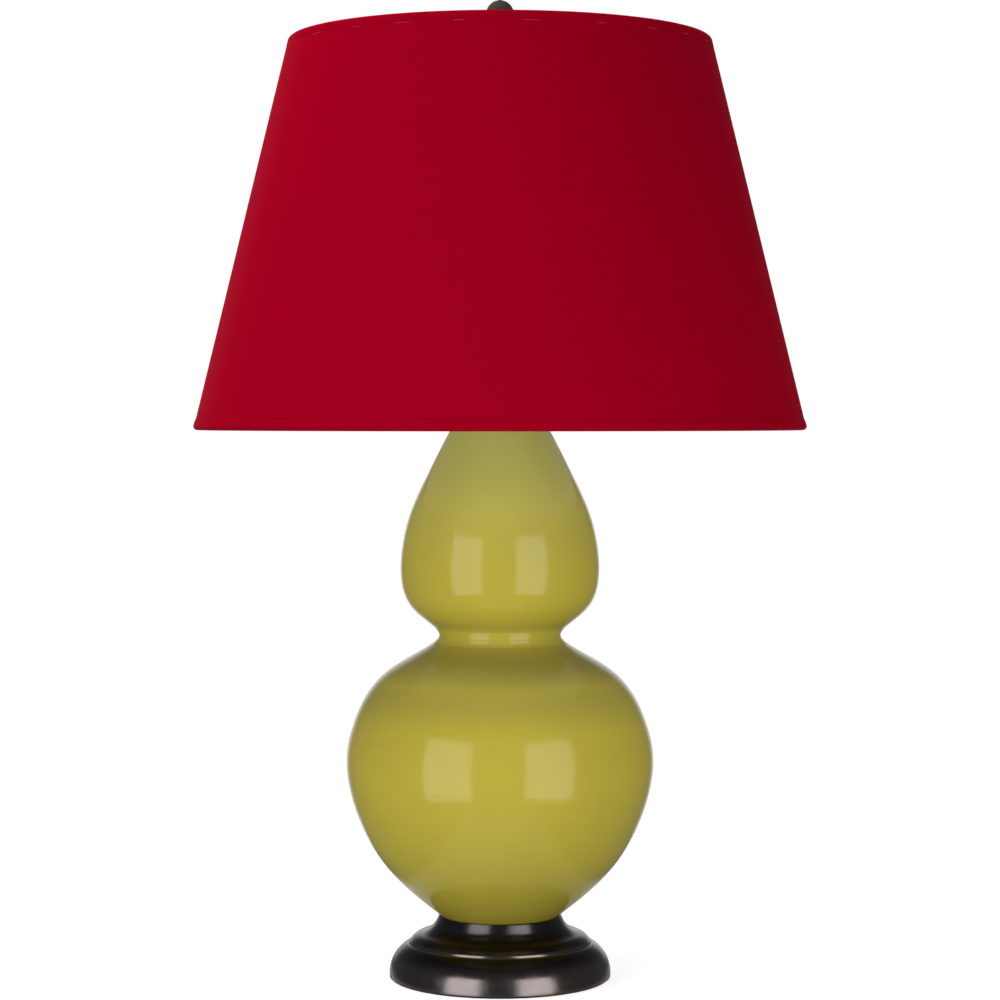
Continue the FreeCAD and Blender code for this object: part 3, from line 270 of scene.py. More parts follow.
@dataclass(frozen=True)
class Finish:
    """A surface finish that becomes one material.

    Attributes:
        name: The material's name.
        slot: The record's material slot.
        colour: Main colour, linear.
        roughness: Mean roughness.
    """

    name: str
    slot: str
    colour: Colour
    roughness: float = 0.5

    def paint(self, graph: Graph) -> None:
        """Fills the material's graph with a plain surface."""
        graph.surface(Base_Color=self.colour, Roughness=self.roughness)

    def material(self) -> bpy.types.Material:
        """The material, made at its first use.

        Returns:
            The material.
        """
        found = bpy.data.materials.get(self.name)
        if found is None:
            found = bpy.data.materials.new(self.name)
            found.use_nodes = True
            self.paint(Graph(found.node_tree))
        return found

    def dress(self, thing: bpy.types.Object) -> None:
        """Gives an object this finish alone.

        Args:
            thing: The object.
        """
        slots = thing.data.materials
        if len(slots):
            slots[0] = self.material()
        else:
            slots.append(self.material())


@dataclass(frozen=True)
class Glaze(Finish):
    """Gloss glaze over pale clay, with painted shade on and below its waist, a painted
    reflection greying its neck, and a faint wave from the wheel.

    Attributes:
        painted_shade_colour: Colour of the painted shade that darkens the lower bulb's shoulder
            and the waist's crease, where the shade and the upper bulb shadow the glaze.
        painted_shade_bands: Level, share and reach of each band of that painted shade.
        neck_reflection_tint: Colour of a painted reflection near the mouth, which greys the neck
            as the white lining inside the shade would in the gloss.
        neck_reflection_span: Heights between which that painted reflection sets in.
        reliefs: How the glaze rounds the waist: from, to, and how far the skin rises.
        clouds: Soft clouds per metre.
        specks: Fine specks per metre.
        mottled: Share of the clouds and of the specks.
        ripples: Waves of the throwing per metre, along each axis.
        dimples: Dimples of the skin per metre.
        swing: Height of the ripples and of the dimples, in millimetres.
        gleam: Specular level of the gloss.
    """

    painted_shade_colour: Colour = (0.270, 0.236, 0.046)
    painted_shade_bands: Zones = ((0.226, 0.48, 0.026), (0.252, 0.84, 0.026), (0.2815, 0.42, 0.0065))
    neck_reflection_tint: Colour = (0.366, 0.340, 0.086)
    neck_reflection_span: Pair = (0.31, 0.43)
    reliefs: Zones = ((0.2655, 0.2710, 0.0026), (0.2730, 0.2778, -0.0027))
    clouds: float = 14.0
    specks: float = 900.0
    mottled: Pair = (0.14, 0.10)
    ripples: tuple[float, float, float] = (4.0, 4.0, 60.0)
    dimples: float = 160.0
    swing: Pair = (0.45, 0.054)
    gleam: float = 0.26

    def paint(self, graph: Graph) -> None:
        """Painted shade, a painted reflection on the neck, soft mottling, ripples and a clear
        gloss.

        Args:
            graph: The material's graph.
        """
        where = graph.place()
        height = graph.axes(where)[2]
        cloud = graph.noise(where, self.clouds, 4.0).ease(0.35, 0.75)
        speck = graph.noise(where, self.specks).ease(0.70, 0.80)
        mottle = cloud * self.mottled[0] + speck * self.mottled[1]
        # The bands paint shade on the lower bulb's shoulder and in the waist; the mottling is
        # the glaze's own.
        shade = (graph.bands(height, self.painted_shade_bands) + mottle).least(1.0)
        # The neck's tint paints a reflection of the white lining in the gloss.
        coat = graph.blend(height.ease(*self.neck_reflection_span), self.colour, self.neck_reflection_tint)
        ripple = graph.streaks(where, self.ripples) * self.swing[0]
        dimple = graph.noise(where, self.dimples, 1.0) * self.swing[1]
        skin = graph.relief(height, self.reliefs)
        graph.surface(
            Base_Color=graph.blend(shade, coat, self.painted_shade_colour),
            Roughness=cloud * 0.03 + self.roughness,
            Normal=graph.bump(ripple + dimple + skin / MM, MM),
            Specular_IOR_Level=self.gleam)


@dataclass(frozen=True)
class Metal(Finish):
    """Metal with soft mottling and a fine grain.

    Attributes:
        stain: Colour of the darker or warmer clouds.
        stained: Share of that colour at most.
        clouds: Clouds per metre.
        grain: Depth of the fine grain, in metres.
        grains: Grains per metre.
        metallic: Share of metal under the finish.
        coat: Clear lacquer over it.
    """

    stain: Colour = (0.3, 0.3, 0.3)
    stained: float = 0.5
    clouds: float = 60.0
    grain: float = 0.00003
    grains: float = 2400.0
    metallic: float = 1.0
    coat: float = 0.0

    def paint(self, graph: Graph) -> None:
        """Clouds of stain, uneven roughness and grain.

        Args:
            graph: The material's graph.
        """
        where = graph.place()
        cloud = graph.noise(where, self.clouds, 5.0, 0.6).ease(0.38, 0.72)
        fine = graph.noise(where, self.grains)
        graph.surface(
            Base_Color=graph.blend(cloud * self.stained, self.colour, self.stain),
            Metallic=self.metallic,
            Roughness=cloud * 0.10 + fine * 0.05 + self.roughness,
            Coat_Weight=self.coat,
            Coat_Roughness=0.15,
            Normal=graph.bump(fine, self.grain, 0.6))


@dataclass(frozen=True)
class RubbedBronze(Metal):
    """Dark bronze: polished at its foot, darker over its hollows with oxide and painted shade,
    and with painted shade along the foot's lowest edge.

    Attributes:
        grains: Grains per metre.
        patina_and_shade: Colour of the hollows: dark oxide, with painted shade that is tinted
            cool to cancel the gourd's reflection there.
        hollow_patina_and_shade: Heights over which it sets in.
        foot: Heights over which painted shade on the foot's edge ends.
        foot_shade_share: Share of that painted shade on the edge.
        bead: Level of the bead, which has none.
        bead_edge: How far from that level it sets in.
        neck: Colour of the neck.
        neck_foot: Heights over which the neck begins.
        rubbed: Colour of the mouldings that are rubbed through.
        ridges: Level, share and reach of these mouldings.
        patches: Rubbed patches per metre.
        reliefs: Soft edges that the light shows: from, to, and how far the skin rises.
    """

    grains: float = 1800.0
    patina_and_shade: Colour = (0.027, 0.027, 0.036)
    hollow_patina_and_shade: Pair = (0.014, 0.025)
    foot: Pair = (0.0010, 0.0030)
    foot_shade_share: float = 0.6
    bead: float = 0.0292
    bead_edge: Pair = (0.0010, 0.0022)
    neck: Colour = (0.058, 0.053, 0.055)
    neck_foot: Pair = (0.038, 0.043)
    rubbed: Colour = (0.150, 0.085, 0.062)
    ridges: Zones = ((0.0013, 0.75, 0.0024), (0.0310, 0.75, 0.0024))
    patches: float = 35.0
    reliefs: Zones = (
        (0.0, 0.0090, -0.0009), (0.0278, 0.0300, 0.0007), (0.0340, 0.0490, 0.0034))

    def paint(self, graph: Graph) -> None:
        """Clouds, rubbed ridges, oxide and painted shade over the hollows, painted shade on the
        foot's edge, and a satin skin.

        Args:
            graph: The material's graph.
        """
        where = graph.place()
        height = graph.axes(where)[2]
        cloud = graph.noise(where, self.clouds, 5.0, 0.6).ease(0.40, 0.75)
        patch = graph.noise(where, self.patches, 3.0).ease(0.42, 0.62)
        fine = graph.noise(where, self.grains)
        base = graph.blend(cloud * self.stained, self.colour, self.stain)
        # Oxide and painted shade darken the hollows; the cool tint cancels the gourd's
        # reflection there.
        hollow_patina_and_shade = height.ease(*self.hollow_patina_and_shade) * abs(height - self.bead).ease(*self.bead_edge)
        # Painted shade darkens the foot's lowest edge.
        dark = hollow_patina_and_shade.most((1 - height.ease(*self.foot)) * self.foot_shade_share)
        base = graph.blend(dark, base, self.patina_and_shade)
        base = graph.blend(height.ease(*self.neck_foot), base, self.neck)
        ridge = graph.bands(height, self.ridges)
        skin = graph.relief(height, self.reliefs) + fine * (self.grain * 0.6)
        graph.surface(
            Base_Color=graph.blend(ridge * patch, base, self.rubbed),
            Metallic=self.metallic,
            Roughness=cloud * 0.08 + fine * 0.06 + self.roughness,
            Normal=graph.bump(skin / MM, MM))


@dataclass(frozen=True)
class Cloth(Finish):
    """Plain woven silk with slubs along its weft.

    Attributes:
        dark: Colour of the darker picks and warps.
        thread: Pitch of the weave, in metres.
        relief: Depth of the weave, in metres.
        slubs: Slubs per metre, along and across the weft.
        picks: Dyed stretches of the weft per metre, likewise.
        warps: Dyed stretches of the warp per metre, likewise.
        dyed: Shares of picks and warps in the darker dye, and of the slubs against it.
        raised: How far weave, slubs and picks stand out, in units of the depth.
        fuzz: Weight, roughness and tint of the sheen.
    """

    dark: Colour = (0.205, 0.0002, 0.0076)
    thread: float = 0.00042
    relief: float = 0.00010
    slubs: tuple[float, float, float] = (26.0, 900.0, 1.0)
    picks: tuple[float, float, float] = (5.0, 420.0, 1.0)
    warps: tuple[float, float, float] = (380.0, 6.0, 1.0)
    dyed: tuple[float, float, float] = (0.75, 0.30, 0.25)
    raised: tuple[float, float, float] = (0.5, 1.6, 0.7)
    fuzz: tuple[float, float, Colour] = (0.34, 0.23, (1.0, 0.12, 0.16))

    def paint(self, graph: Graph) -> None:
        """Weave, slubs and picks of uneven dye, on the cloth's own UV map in metres.

        Args:
            graph: The material's graph.
        """
        where = graph.place("UV")
        along, across, _ = graph.axes(where)
        turn = math.pi / self.thread
        wander = graph.noise(where, 30.0) * 0.9
        weave = (along * turn).sine() * (across * turn + wander).sine()
        slub = graph.streaks(where, self.slubs).ease(0.60, 0.78)
        pick = graph.streaks(where, self.picks, 3.0, 0.7)
        warp = graph.streaks(where, self.warps)
        picked, warped, lightened = self.dyed
        shade = (pick * picked + warp * warped - slub * lightened - 0.10).ease(0.0, 1.0) * 0.6
        woven, slubbed, ribbed = self.raised
        height = weave * woven + slub * slubbed + pick * ribbed
        weight, roughness, tint = self.fuzz
        graph.surface(
            Base_Color=graph.blend(shade, self.colour, self.dark),
            Roughness=self.roughness,
            Sheen_Weight=weight,
            Sheen_Roughness=roughness,
            Sheen_Tint=tint,
            Specular_IOR_Level=0.0,
            Normal=graph.bump(height, self.relief, 0.7))


@dataclass(frozen=True)
class Speckled(Finish):
    """A matt stuff with a second colour in flecks.

    Attributes:
        fleck: Colour of the flecks.
        size: Flecks per metre.
        share: Share of flecks.
        relief: Depth of the surface, in metres.
        sheen: Fuzz over it.
    """

    fleck: Colour = (0.3, 0.3, 0.3)
    size: float = 500.0
    share: float = 0.5
    relief: float = 0.0002
    sheen: float = 0.0

    def paint(self, graph: Graph) -> None:
        """Flecks and a rough skin."""
        fleck = graph.noise(graph.place(), self.size, 4.0, 0.65)
        graph.surface(
            Base_Color=graph.blend(fleck.ease(0.62 - 0.2 * self.share, 0.72) * self.share,
                                   self.colour, self.fleck),
            Roughness=fleck * 0.1 + self.roughness,
            Sheen_Weight=self.sheen,
            Specular_IOR_Level=0.25,
            Normal=graph.bump(fleck, self.relief, 0.8))


@dataclass(frozen=True)
class Glass(Finish):
    """Blown glass, clear or frosted.

    Attributes:
        through: Share of light that passes.
    """

    through: float = 1.0

    def paint(self, graph: Graph) -> None:
        """A thin uneven gloss over glass."""
        wave = graph.noise(graph.place(), 40.0)
        graph.surface(
            Base_Color=self.colour,
            Roughness=wave * 0.02 + self.roughness,
            IOR=1.5,
            Transmission_Weight=self.through,
            Normal=graph.bump(wave, 0.0003, 0.3))


GLAZE = Glaze("lime_glaze", "glazed_ceramic", (0.415, 0.346, 0.040), 0.12)
BRONZE = RubbedBronze("rubbed_bronze", "aged_bronze", (0.134, 0.117, 0.118), 0.16,
                      stain=(0.150, 0.120, 0.110), stained=0.6, clouds=70.0)
DARK_BRONZE = Metal("dark_bronze", "aged_bronze", (0.050, 0.042, 0.032), 0.30,
                    stain=(0.085, 0.066, 0.044), stained=0.6, clouds=120.0)
SATIN_BRONZE = Metal("satin_bronze", "aged_bronze", (0.092, 0.074, 0.058), 0.42, metallic=0.5,
                     stain=(0.120, 0.094, 0.070), stained=0.5, clouds=160.0)
BRASS = Metal("holder_brass", "brass", (0.76, 0.55, 0.25), 0.20,
              stain=(0.52, 0.33, 0.12), stained=0.5, clouds=90.0)
ZINC = Metal("zinc_plate", "zinc_steel", (0.62, 0.62, 0.60), 0.30,
             stain=(0.42, 0.42, 0.43), stained=0.6, clouds=150.0)
HARP_STEEL = Metal("harp_wire_plate", "harp_wire", (0.60, 0.54, 0.44), 0.25,
                   stain=(0.42, 0.34, 0.25), stained=0.5, clouds=80.0)
BULB_METAL = Metal("cap_aluminium", "bulb_metal", (0.78, 0.78, 0.77), 0.26,
                   stain=(0.55, 0.55, 0.56), stained=0.6, clouds=160.0)
TUNGSTEN = Metal("drawn_tungsten", "tungsten", (0.30, 0.30, 0.31), 0.35,
                 stain=(0.12, 0.12, 0.14), clouds=300.0)
ENAMEL = Metal("white_enamel", "frame_wire", (0.78, 0.77, 0.73), 0.30, metallic=0.0,
               stain=(0.62, 0.60, 0.54), stained=0.5, clouds=60.0, coat=0.4)
PHENOLIC = Metal("black_phenolic", "core_plastic", (0.022, 0.020, 0.019), 0.38, metallic=0.0,
                 stain=(0.040, 0.032, 0.027), clouds=200.0)
KNOB_BLACK = Metal("knob_black", "knob_plastic", (0.016, 0.014, 0.013), 0.16, metallic=0.0,
                   stain=(0.026, 0.021, 0.018), clouds=140.0, grain=0.00001)
BUSH_BLACK = Metal("bushing_black", "bushing_plastic", (0.020, 0.020, 0.020), 0.42,
                   metallic=0.0, stain=(0.035, 0.034, 0.033), clouds=220.0)
FIBRE = Speckled("fibre_board", "fibre_sleeve", (0.34, 0.20, 0.10), 0.8,
                 fleck=(0.16, 0.09, 0.045), size=700.0)
CORK = Speckled("cut_cork", "cork", (0.46, 0.28, 0.13), 0.8, fleck=(0.10, 0.05, 0.02),
                size=420.0, share=0.8)
FELT = Speckled("wool_felt", "felt", (0.022, 0.022, 0.023), 0.95, fleck=(0.06, 0.06, 0.062),
                size=1300.0, share=0.7, relief=0.0004, sheen=0.5)
LINING = Speckled("lining_white", "shade_lining", (0.80, 0.78, 0.73), 0.62,
                  fleck=(0.70, 0.66, 0.58), size=260.0, share=0.4, relief=0.00005)
PAPER = Speckled("seam_paper", "shade_lining", (0.74, 0.71, 0.64), 0.7,
                 fleck=(0.62, 0.57, 0.48), size=600.0, relief=0.00005)
COVER = Cloth("red_silk", "shade_cloth", (0.302, 0.0002, 0.0112), 0.72)
EDGING = Cloth("red_silk_edging", "trim_cloth", (0.296, 0.0002, 0.0106), 0.70)
STITCH = Speckled("red_thread", "trim_cloth", (0.39, 0.014, 0.033), 0.6,
                  fleck=(0.30, 0.004, 0.014), size=3000.0, relief=0.00003)
FROSTED = Glass("frosted_bulb", "frosted_glass", (0.93, 0.93, 0.91), 0.42, through=0.55)
CLEAR = Glass("clear_stem", "clear_glass", (0.96, 0.98, 0.97), 0.03)


# ------------------------------------------------------------------- modelling

class Body(Enum):
    """The bodies that pieces ride on."""

    BASE = "base"
    BULB_THREAD = "bulb_thread"
    HARP_STUD = "harp_stud"
    SHADE = "shade"


def rounded(outline: Sequence[Point], radius: float, segments: int = 4) -> list[Point]:
    """A closed outline with its corners rounded.

    Args:
        outline: (radius, height) of each corner.
        radius: Distance of each rounding from its corner.
        segments: Segments of each rounding.

    Returns:
        The points of the rounded outline, in order.
    """
    bm = bmesh.new()
    bm.faces.new([bm.verts.new((r, 0.0, z)) for r, z in outline])
    bmesh.ops.bevel(bm, geom=list(bm.verts), offset=radius, offset_type="OFFSET",
                    segments=segments, profile=0.5, affect="VERTICES", material=-1)
    bm.faces.ensure_lookup_table()
    points = [(v.co.x, v.co.z) for v in bm.faces[0].verts]
    bm.free()
    return points


def draw(bm: bmesh.types.BMesh, outline: Sequence[Point],
         closed: bool = False) -> list[bmesh.types.BMVert | bmesh.types.BMEdge]:
    """Draws an outline beside the lamp's axis.

    Args:
        bm: The mesh that takes it.
        outline: (radius, height) of each point.
        closed: Whether the last point joins the first.

    Returns:
        Its points, then its edges.
    """
    row = [bm.verts.new((r, 0.0, z)) for r, z in outline]
    following = row[1:] + row[:1] if closed else row[1:]
    return row + [bm.edges.new(pair) for pair in zip(row, following)]


def lathe(outline: Sequence[Point], steps: int = 160, closed: bool = True) -> bmesh.types.BMesh:
    """Turns an outline about the lamp's axis.

    Args:
        outline: (radius, height) of each point.
        steps: Divisions of the full turn.
        closed: Whether the last point joins the first.

    Returns:
        The turned mesh, with the length along the outline in its layer "along".
    """
    bm = bmesh.new()
    along = bm.verts.layers.float.new("along")
    drawn = draw(bm, outline, closed)
    row = drawn[:len(outline)]
    length = 0.0
    for last, vert in zip(row[:1] + row, row):
        length += (vert.co - last.co).length
        vert[along] = length
    bmesh.ops.spin(bm, geom=drawn, cent=(0, 0, 0), axis=UP, angle=math.tau, steps=steps,
                   use_merge=True)
    bmesh.ops.remove_doubles(bm, verts=list(bm.verts), dist=WELD)
    return bm


def wrap(bm: bmesh.types.BMesh, mean_radius: float, length: float = math.inf) -> None:
    """Lays a UV map in metres round a turned mesh.

    Args:
        bm: A mesh from lathe().
        mean_radius: Radius whose circle the map's first axis measures.
        length: Length round a closed outline, for the face that closes it.
    """
    layer = bm.loops.layers.uv.new("cloth")
    along = bm.verts.layers.float["along"]
    for face in bm.faces:
        middle = face.calc_center_median()
        centre = math.atan2(-middle.x, -middle.y)
        spans = [loop.vert[along] for loop in face.loops]
        closes = max(spans) - min(spans) > length / 2
        for loop in face.loops:
            angle = math.atan2(-loop.vert.co.x, -loop.vert.co.y)
            angle += math.tau * round((centre - angle) / math.tau)
            reach = loop.vert[along]
            if closes and reach < length / 2:
                reach += length
            loop[layer].uv = (angle * mean_radius, reach)


def screw(profile: Sequence[Point], pitch: float, turns: int, steps: int) -> bmesh.types.BMesh:
    """A thread: one pitch of its profile, turned while it climbs.

    Args:
        profile: (radius, height) of each point of the first turn.
        pitch: Climb of one turn.
        turns: Whole turns.
        steps: Divisions of one turn.

    Returns:
        The thread, open at both ends.
    """
    bm = bmesh.new()
    bmesh.ops.spin(bm, geom=draw(bm, profile), cent=(0, 0, 0), axis=UP,
                   angle=math.tau * turns, dvec=(0, 0, pitch / steps), steps=steps * turns)
    bmesh.ops.remove_doubles(bm, verts=list(bm.verts), dist=pitch * SEAM_GAP)
    return bm


def trim_level(bm: bmesh.types.BMesh, level: float, keep_above: bool) -> None:
    """Cuts a mesh off at a height.

    Args:
        bm: The mesh.
        level: Height of the cut.
        keep_above: Whether the part above it stays.
    """
    everything = list(bm.verts) + list(bm.edges) + list(bm.faces)
    bmesh.ops.bisect_plane(bm, geom=everything, plane_co=(0, 0, level), plane_no=UP,
                           clear_inner=keep_above, clear_outer=not keep_above)


def outward(place: Vector) -> Vector:
    """The level direction from the axis to a place."""
    return Vector((place.x, place.y, 0.0)).normalized()


def waves(place: Vector, *parts: tuple[float, float, float]) -> float:
    """A sum of waves round the axis, from the count, phase and share of each."""
    angle = math.atan2(place.y, place.x)
    return sum(math.sin(angle * count + phase) * share for count, phase, share in parts)


def shift(bm: bmesh.types.BMesh, rule: Callable[[Vector], Vector]) -> None:
    """Moves every point by a rule on its place."""
    for vert in bm.verts:
        vert.co += rule(vert.co)


def draw_out(bm: bmesh.types.BMesh, edges: list[bmesh.types.BMEdge], radius: float,
             level: float, rib: float = 0.0, ribs: int = 0) -> list[bmesh.types.BMEdge]:
    """Extrudes a ring of edges to a new ring.

    Args:
        bm: The mesh.
        edges: The ring that is drawn out.
        radius: Mean radius of the new ring.
        level: Level of the new ring.
        rib: How far it waves out and in.
        ribs: Waves round it.

    Returns:
        The edges of the new ring.
    """
    grown = bmesh.ops.extrude_edge_only(bm, edges=edges)["geom"]
    ring = [item for item in grown if isinstance(item, bmesh.types.BMEdge)]
    for vert in {vert for edge in ring for vert in edge.verts}:
        reach = radius + rib * math.cos(math.atan2(vert.co.y, vert.co.x) * ribs)
        vert.co = outward(vert.co) * reach + UP * level
    return ring


def as_mesh(name: str, bm: bmesh.types.BMesh) -> bpy.types.Mesh:
    """Stores a worked mesh.

    Args:
        name: Its name.
        bm: The worked mesh, which is used up.

    Returns:
        The stored mesh.
    """
    mesh = bpy.data.meshes.new(name)
    bm.to_mesh(mesh)
    bm.free()
    return mesh


def add_object(name: str, data: bpy.types.ID) -> bpy.types.Object:
    """Puts a new object in the scene.

    Args:
        name: Its name.
        data: Its mesh, camera or lamp.

    Returns:
        The object.
    """
    thing = bpy.data.objects.new(name, data)
    bpy.context.scene.collection.objects.link(thing)
    return thing


@dataclass
class SubAssembly:
    """Pieces that are made and dressed together.

    Attributes:
        finishes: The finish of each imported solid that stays.
    """

    finishes: dict[str, Finish] = field(default_factory=dict)

    def build(self) -> None:
        """Makes and dresses the pieces."""
        self.dress_solids()

    def dress_solids(self) -> None:
        """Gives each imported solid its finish."""
        for name, finish in self.finishes.items():
            finish.dress(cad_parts[name])
            LOG.info("dressed %s in %s", name, finish.name)

    def piece(self, name: str, bm: bmesh.types.BMesh, finish: Finish, body: Body,
              replaces: Sequence[str] = (), sharp: float = 40.0) -> bpy.types.Object:
        """Turns a finished mesh into a piece of the lamp.

        Args:
            name: The piece's name.
            bm: Its mesh, which is used up.
            finish: Its finish.
            body: The body that it rides on.
            replaces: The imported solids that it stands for.
            sharp: Edges over this angle, in degrees, stay sharp.

        Returns:
            The new object.
        """
        bmesh.ops.recalc_face_normals(bm, faces=list(bm.faces))
        mesh = as_mesh(name, bm)
        mesh.shade_smooth()
        mesh.set_sharp_from_angle(angle=math.radians(sharp))
        thing = add_object(name, mesh)
        finish.dress(thing)
        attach(thing, body.value)
        if replaces:
            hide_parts(*replaces)
        LOG.info("made %s, %d faces, on %s", name, len(mesh.polygons), body.value)
        return thing

    def thicken(self, thing: bpy.types.Object, thickness: float, offset: float = -1.0) -> None:
        """Gives a thin piece its wall.

        Args:
            thing: The piece.
            thickness: Thickness of its wall.
            offset: -1 for a wall behind the modelled face, 1 for a wall before it.
        """
        wall = thing.modifiers.new("wall", "SOLIDIFY")
        wall.thickness = thickness
        wall.offset = offset


# ----------------------------------------------------------------- base, body

@dataclass
class Base(SubAssembly):
    """The turned metal base, its felt and what clamps the lamp together.

    Attributes:
        felt_radius: Edge of the felt.
        felt_thickness: Thickness of the felt.
        felt_rounding: Roundness of its cut edge.
        felt_ruffle: Unevenness of its cut edge.
        felt_waves: Count, phase and share of the waves of its cut edge.
        felt_steps: Divisions of the full turn.
    """

    felt_radius: float = 86.2 * MM
    felt_thickness: float = 1.5 * MM
    felt_rounding: float = 0.45 * MM
    felt_ruffle: float = 0.12 * MM
    felt_waves: Zones = ((37, 0.0, 0.5), (61, 1.3, 0.5))
    felt_steps: int = 180
    finishes: dict[str, Finish] = field(default_factory=lambda: {
        "base_casting": BRONZE, "cord_bushing": BUSH_BLACK, "threaded_rod": ZINC,
        "base_washer": ZINC, "lock_washer": ZINC, "base_nut": ZINC, "seat_gasket": CORK})

    def build(self) -> None:
        """Dresses the solids and cuts the felt."""
        self.dress_solids()
        self.make_felt()

    def make_felt(self) -> None:
        """The felt disc, with a soft, slightly uneven cut edge."""
        edge, top = self.felt_radius, self.felt_thickness
        inner = edge * 0.5
        outline = rounded([(inner, 0.0), (edge, 0.0), (edge, top), (inner, top)],
                          self.felt_rounding)
        rim = [point for point in outline if point[0] > edge * 0.6]
        start = rim.index(min(rim, key=lambda point: point[1]))
        section = [(0.0, 0.0), *rim[start:], *rim[:start], (0.0, top)]
        bm = lathe(section, self.felt_steps, closed=False)

        def ruffle(place: Vector) -> Vector:
            """How the cut edge steps in at a place; the rest of the felt stays."""
            swing = waves(place, *self.felt_waves) if place.xy.length > edge * 0.9 else 1.0
            return outward(place) * (swing - 1) * self.felt_ruffle

        shift(bm, ruffle)
        felt = self.piece("felt_disc", bm, FELT, Body.BASE, ["felt_pad"])


@dataclass
class Gourd(SubAssembly):
    """The glazed body and the metal fittings on its mouth."""

    finishes: dict[str, Finish] = field(default_factory=lambda: {
        "gourd_body": GLAZE, "vase_cap": DARK_BRONZE, "neck_tube": DARK_BRONZE,
        "check_ring": DARK_BRONZE})


# ---------------------------------------------------------- holder, bulb, harp

@dataclass(frozen=True)
class RolledThread:
    """The round thread of a lamp holder or a bulb, rolled in thin sheet.

    Attributes:
        crest: Largest radius.
        low: Level of its foot.
        high: Level of its top.
        pitch: Height of one turn.
        depth: Crest to root.
        datum: A level at which a turn begins, the same for both, so that they mesh.
        points: Points over one pitch.
        steps: Divisions of one turn.
    """

    crest: float
    low: float
    high: float
    pitch: float = 3.629 * MM
    depth: float = 0.62 * MM
    datum: float = 528.4 * MM
    points: int = 13
    steps: int = 72

    def tube(self) -> bmesh.types.BMesh:
        """The threaded tube, cut level at its foot and top.

        Returns:
            Its mesh, open at both ends.
        """
        start = self.datum + self.pitch * (math.ceil((self.low - self.datum) / self.pitch) - 1)
        turns = math.ceil((self.high - start) / self.pitch) + 1
        shares = [number / (self.points - 1) for number in range(self.points)]
        half = self.depth / 2
        profile = [(self.crest - half + half * math.cos(math.tau * share),
                    start + self.pitch * share) for share in shares]
        bm = screw(profile, self.pitch, turns, self.steps)
        trim_level(bm, self.low, True)
        trim_level(bm, self.high, False)
        return bm


@dataclass
class LampHolder(SubAssembly):
    """The brass lamp holder with its turn switch.

    Attributes:
        thread: The thread that takes the bulb, with the crest inside its shell.
        wall: Thickness of the threaded shell.
        barrel: Outside of the socket shell.
        rib_low: Foot of the ribbed band.
        rib_high: Top of the ribbed band.
        rib_slope: Height over which the ribs rise from its foot and to its top.
        rib_mean: Mean height of the ribs over the shell.
        rib_swing: How far they wave about it.
        rib_count: Ribs round the band.
        stem_level: Height of the switch stem.
        collar: Radius, and distance from the lamp's axis, of each corner of its collar.
        collar_rounding: Roundness of these corners.
    """

    thread: RolledThread = RolledThread(13.45 * MM, 528.4 * MM, 548.5 * MM)
    wall: float = 0.32 * MM
    barrel: float = 15.6 * MM
    rib_low: float = 512.6 * MM
    rib_high: float = 516.4 * MM
    rib_slope: float = 0.5 * MM
    rib_mean: float = 0.322 * MM
    rib_swing: float = 0.28 * MM
    rib_count: int = 56
    stem_level: float = 523.0 * MM
    collar: tuple[Point, ...] = (
        (2.2 * MM, 15.2 * MM), (3.9 * MM, 15.2 * MM), (3.9 * MM, 16.2 * MM),
        (3.0 * MM, 16.9 * MM), (2.2 * MM, 16.9 * MM))
    collar_rounding: float = 0.2 * MM
    finishes: dict[str, Finish] = field(default_factory=lambda: {
        "socket_cap": BRASS, "socket_shell": BRASS, "insulating_sleeve": FIBRE,
        "socket_core": PHENOLIC, "terminal_screws": BRASS, "centre_contact": BRASS,
        "switch_stem": BRASS, "switch_knob": KNOB_BLACK})

    def build(self) -> None:
        """Dresses the solids and adds the thread, the ribbed band and the collar."""
        self.dress_solids()
        self.make_thread()
        self.make_ribs()
        self.make_collar()

    def make_thread(self) -> None:
        """The shell with the rolled thread that takes the bulb."""
        shell = self.piece("threaded_shell", self.thread.tube(), BRASS, Body.BASE,
                           ["screw_shell"], 60.0)
        self.thicken(shell, self.wall, 1.0)

    def make_ribs(self) -> None:
        """The band of pressed ribs over the joint of shell and cap."""
        bm = bmesh.new()
        bmesh.ops.create_circle(bm, segments=self.rib_count * 4, radius=self.barrel,
                                matrix=Matrix.Translation(UP * self.rib_low))
        ring = list(bm.edges)
        for level in (self.rib_low + self.rib_slope, self.rib_high - self.rib_slope):
            ring = draw_out(bm, ring, self.barrel + self.rib_mean, level, self.rib_swing,
                            self.rib_count)
        draw_out(bm, ring, self.barrel, self.rib_high)
        self.piece("holder_ribs", bm, BRASS, Body.BASE, sharp=60.0)

    def make_collar(self) -> None:
        """The turned collar that the switch stem passes through."""
        bm = lathe(rounded(self.collar, self.collar_rounding, 3), steps=48)
        forward = Matrix.Rotation(math.pi / 2, 4, "X")
        bmesh.ops.transform(bm, matrix=Matrix.Translation(UP * self.stem_level) @ forward,
                            verts=list(bm.verts))
        self.piece("switch_collar", bm, BRASS, Body.BASE)


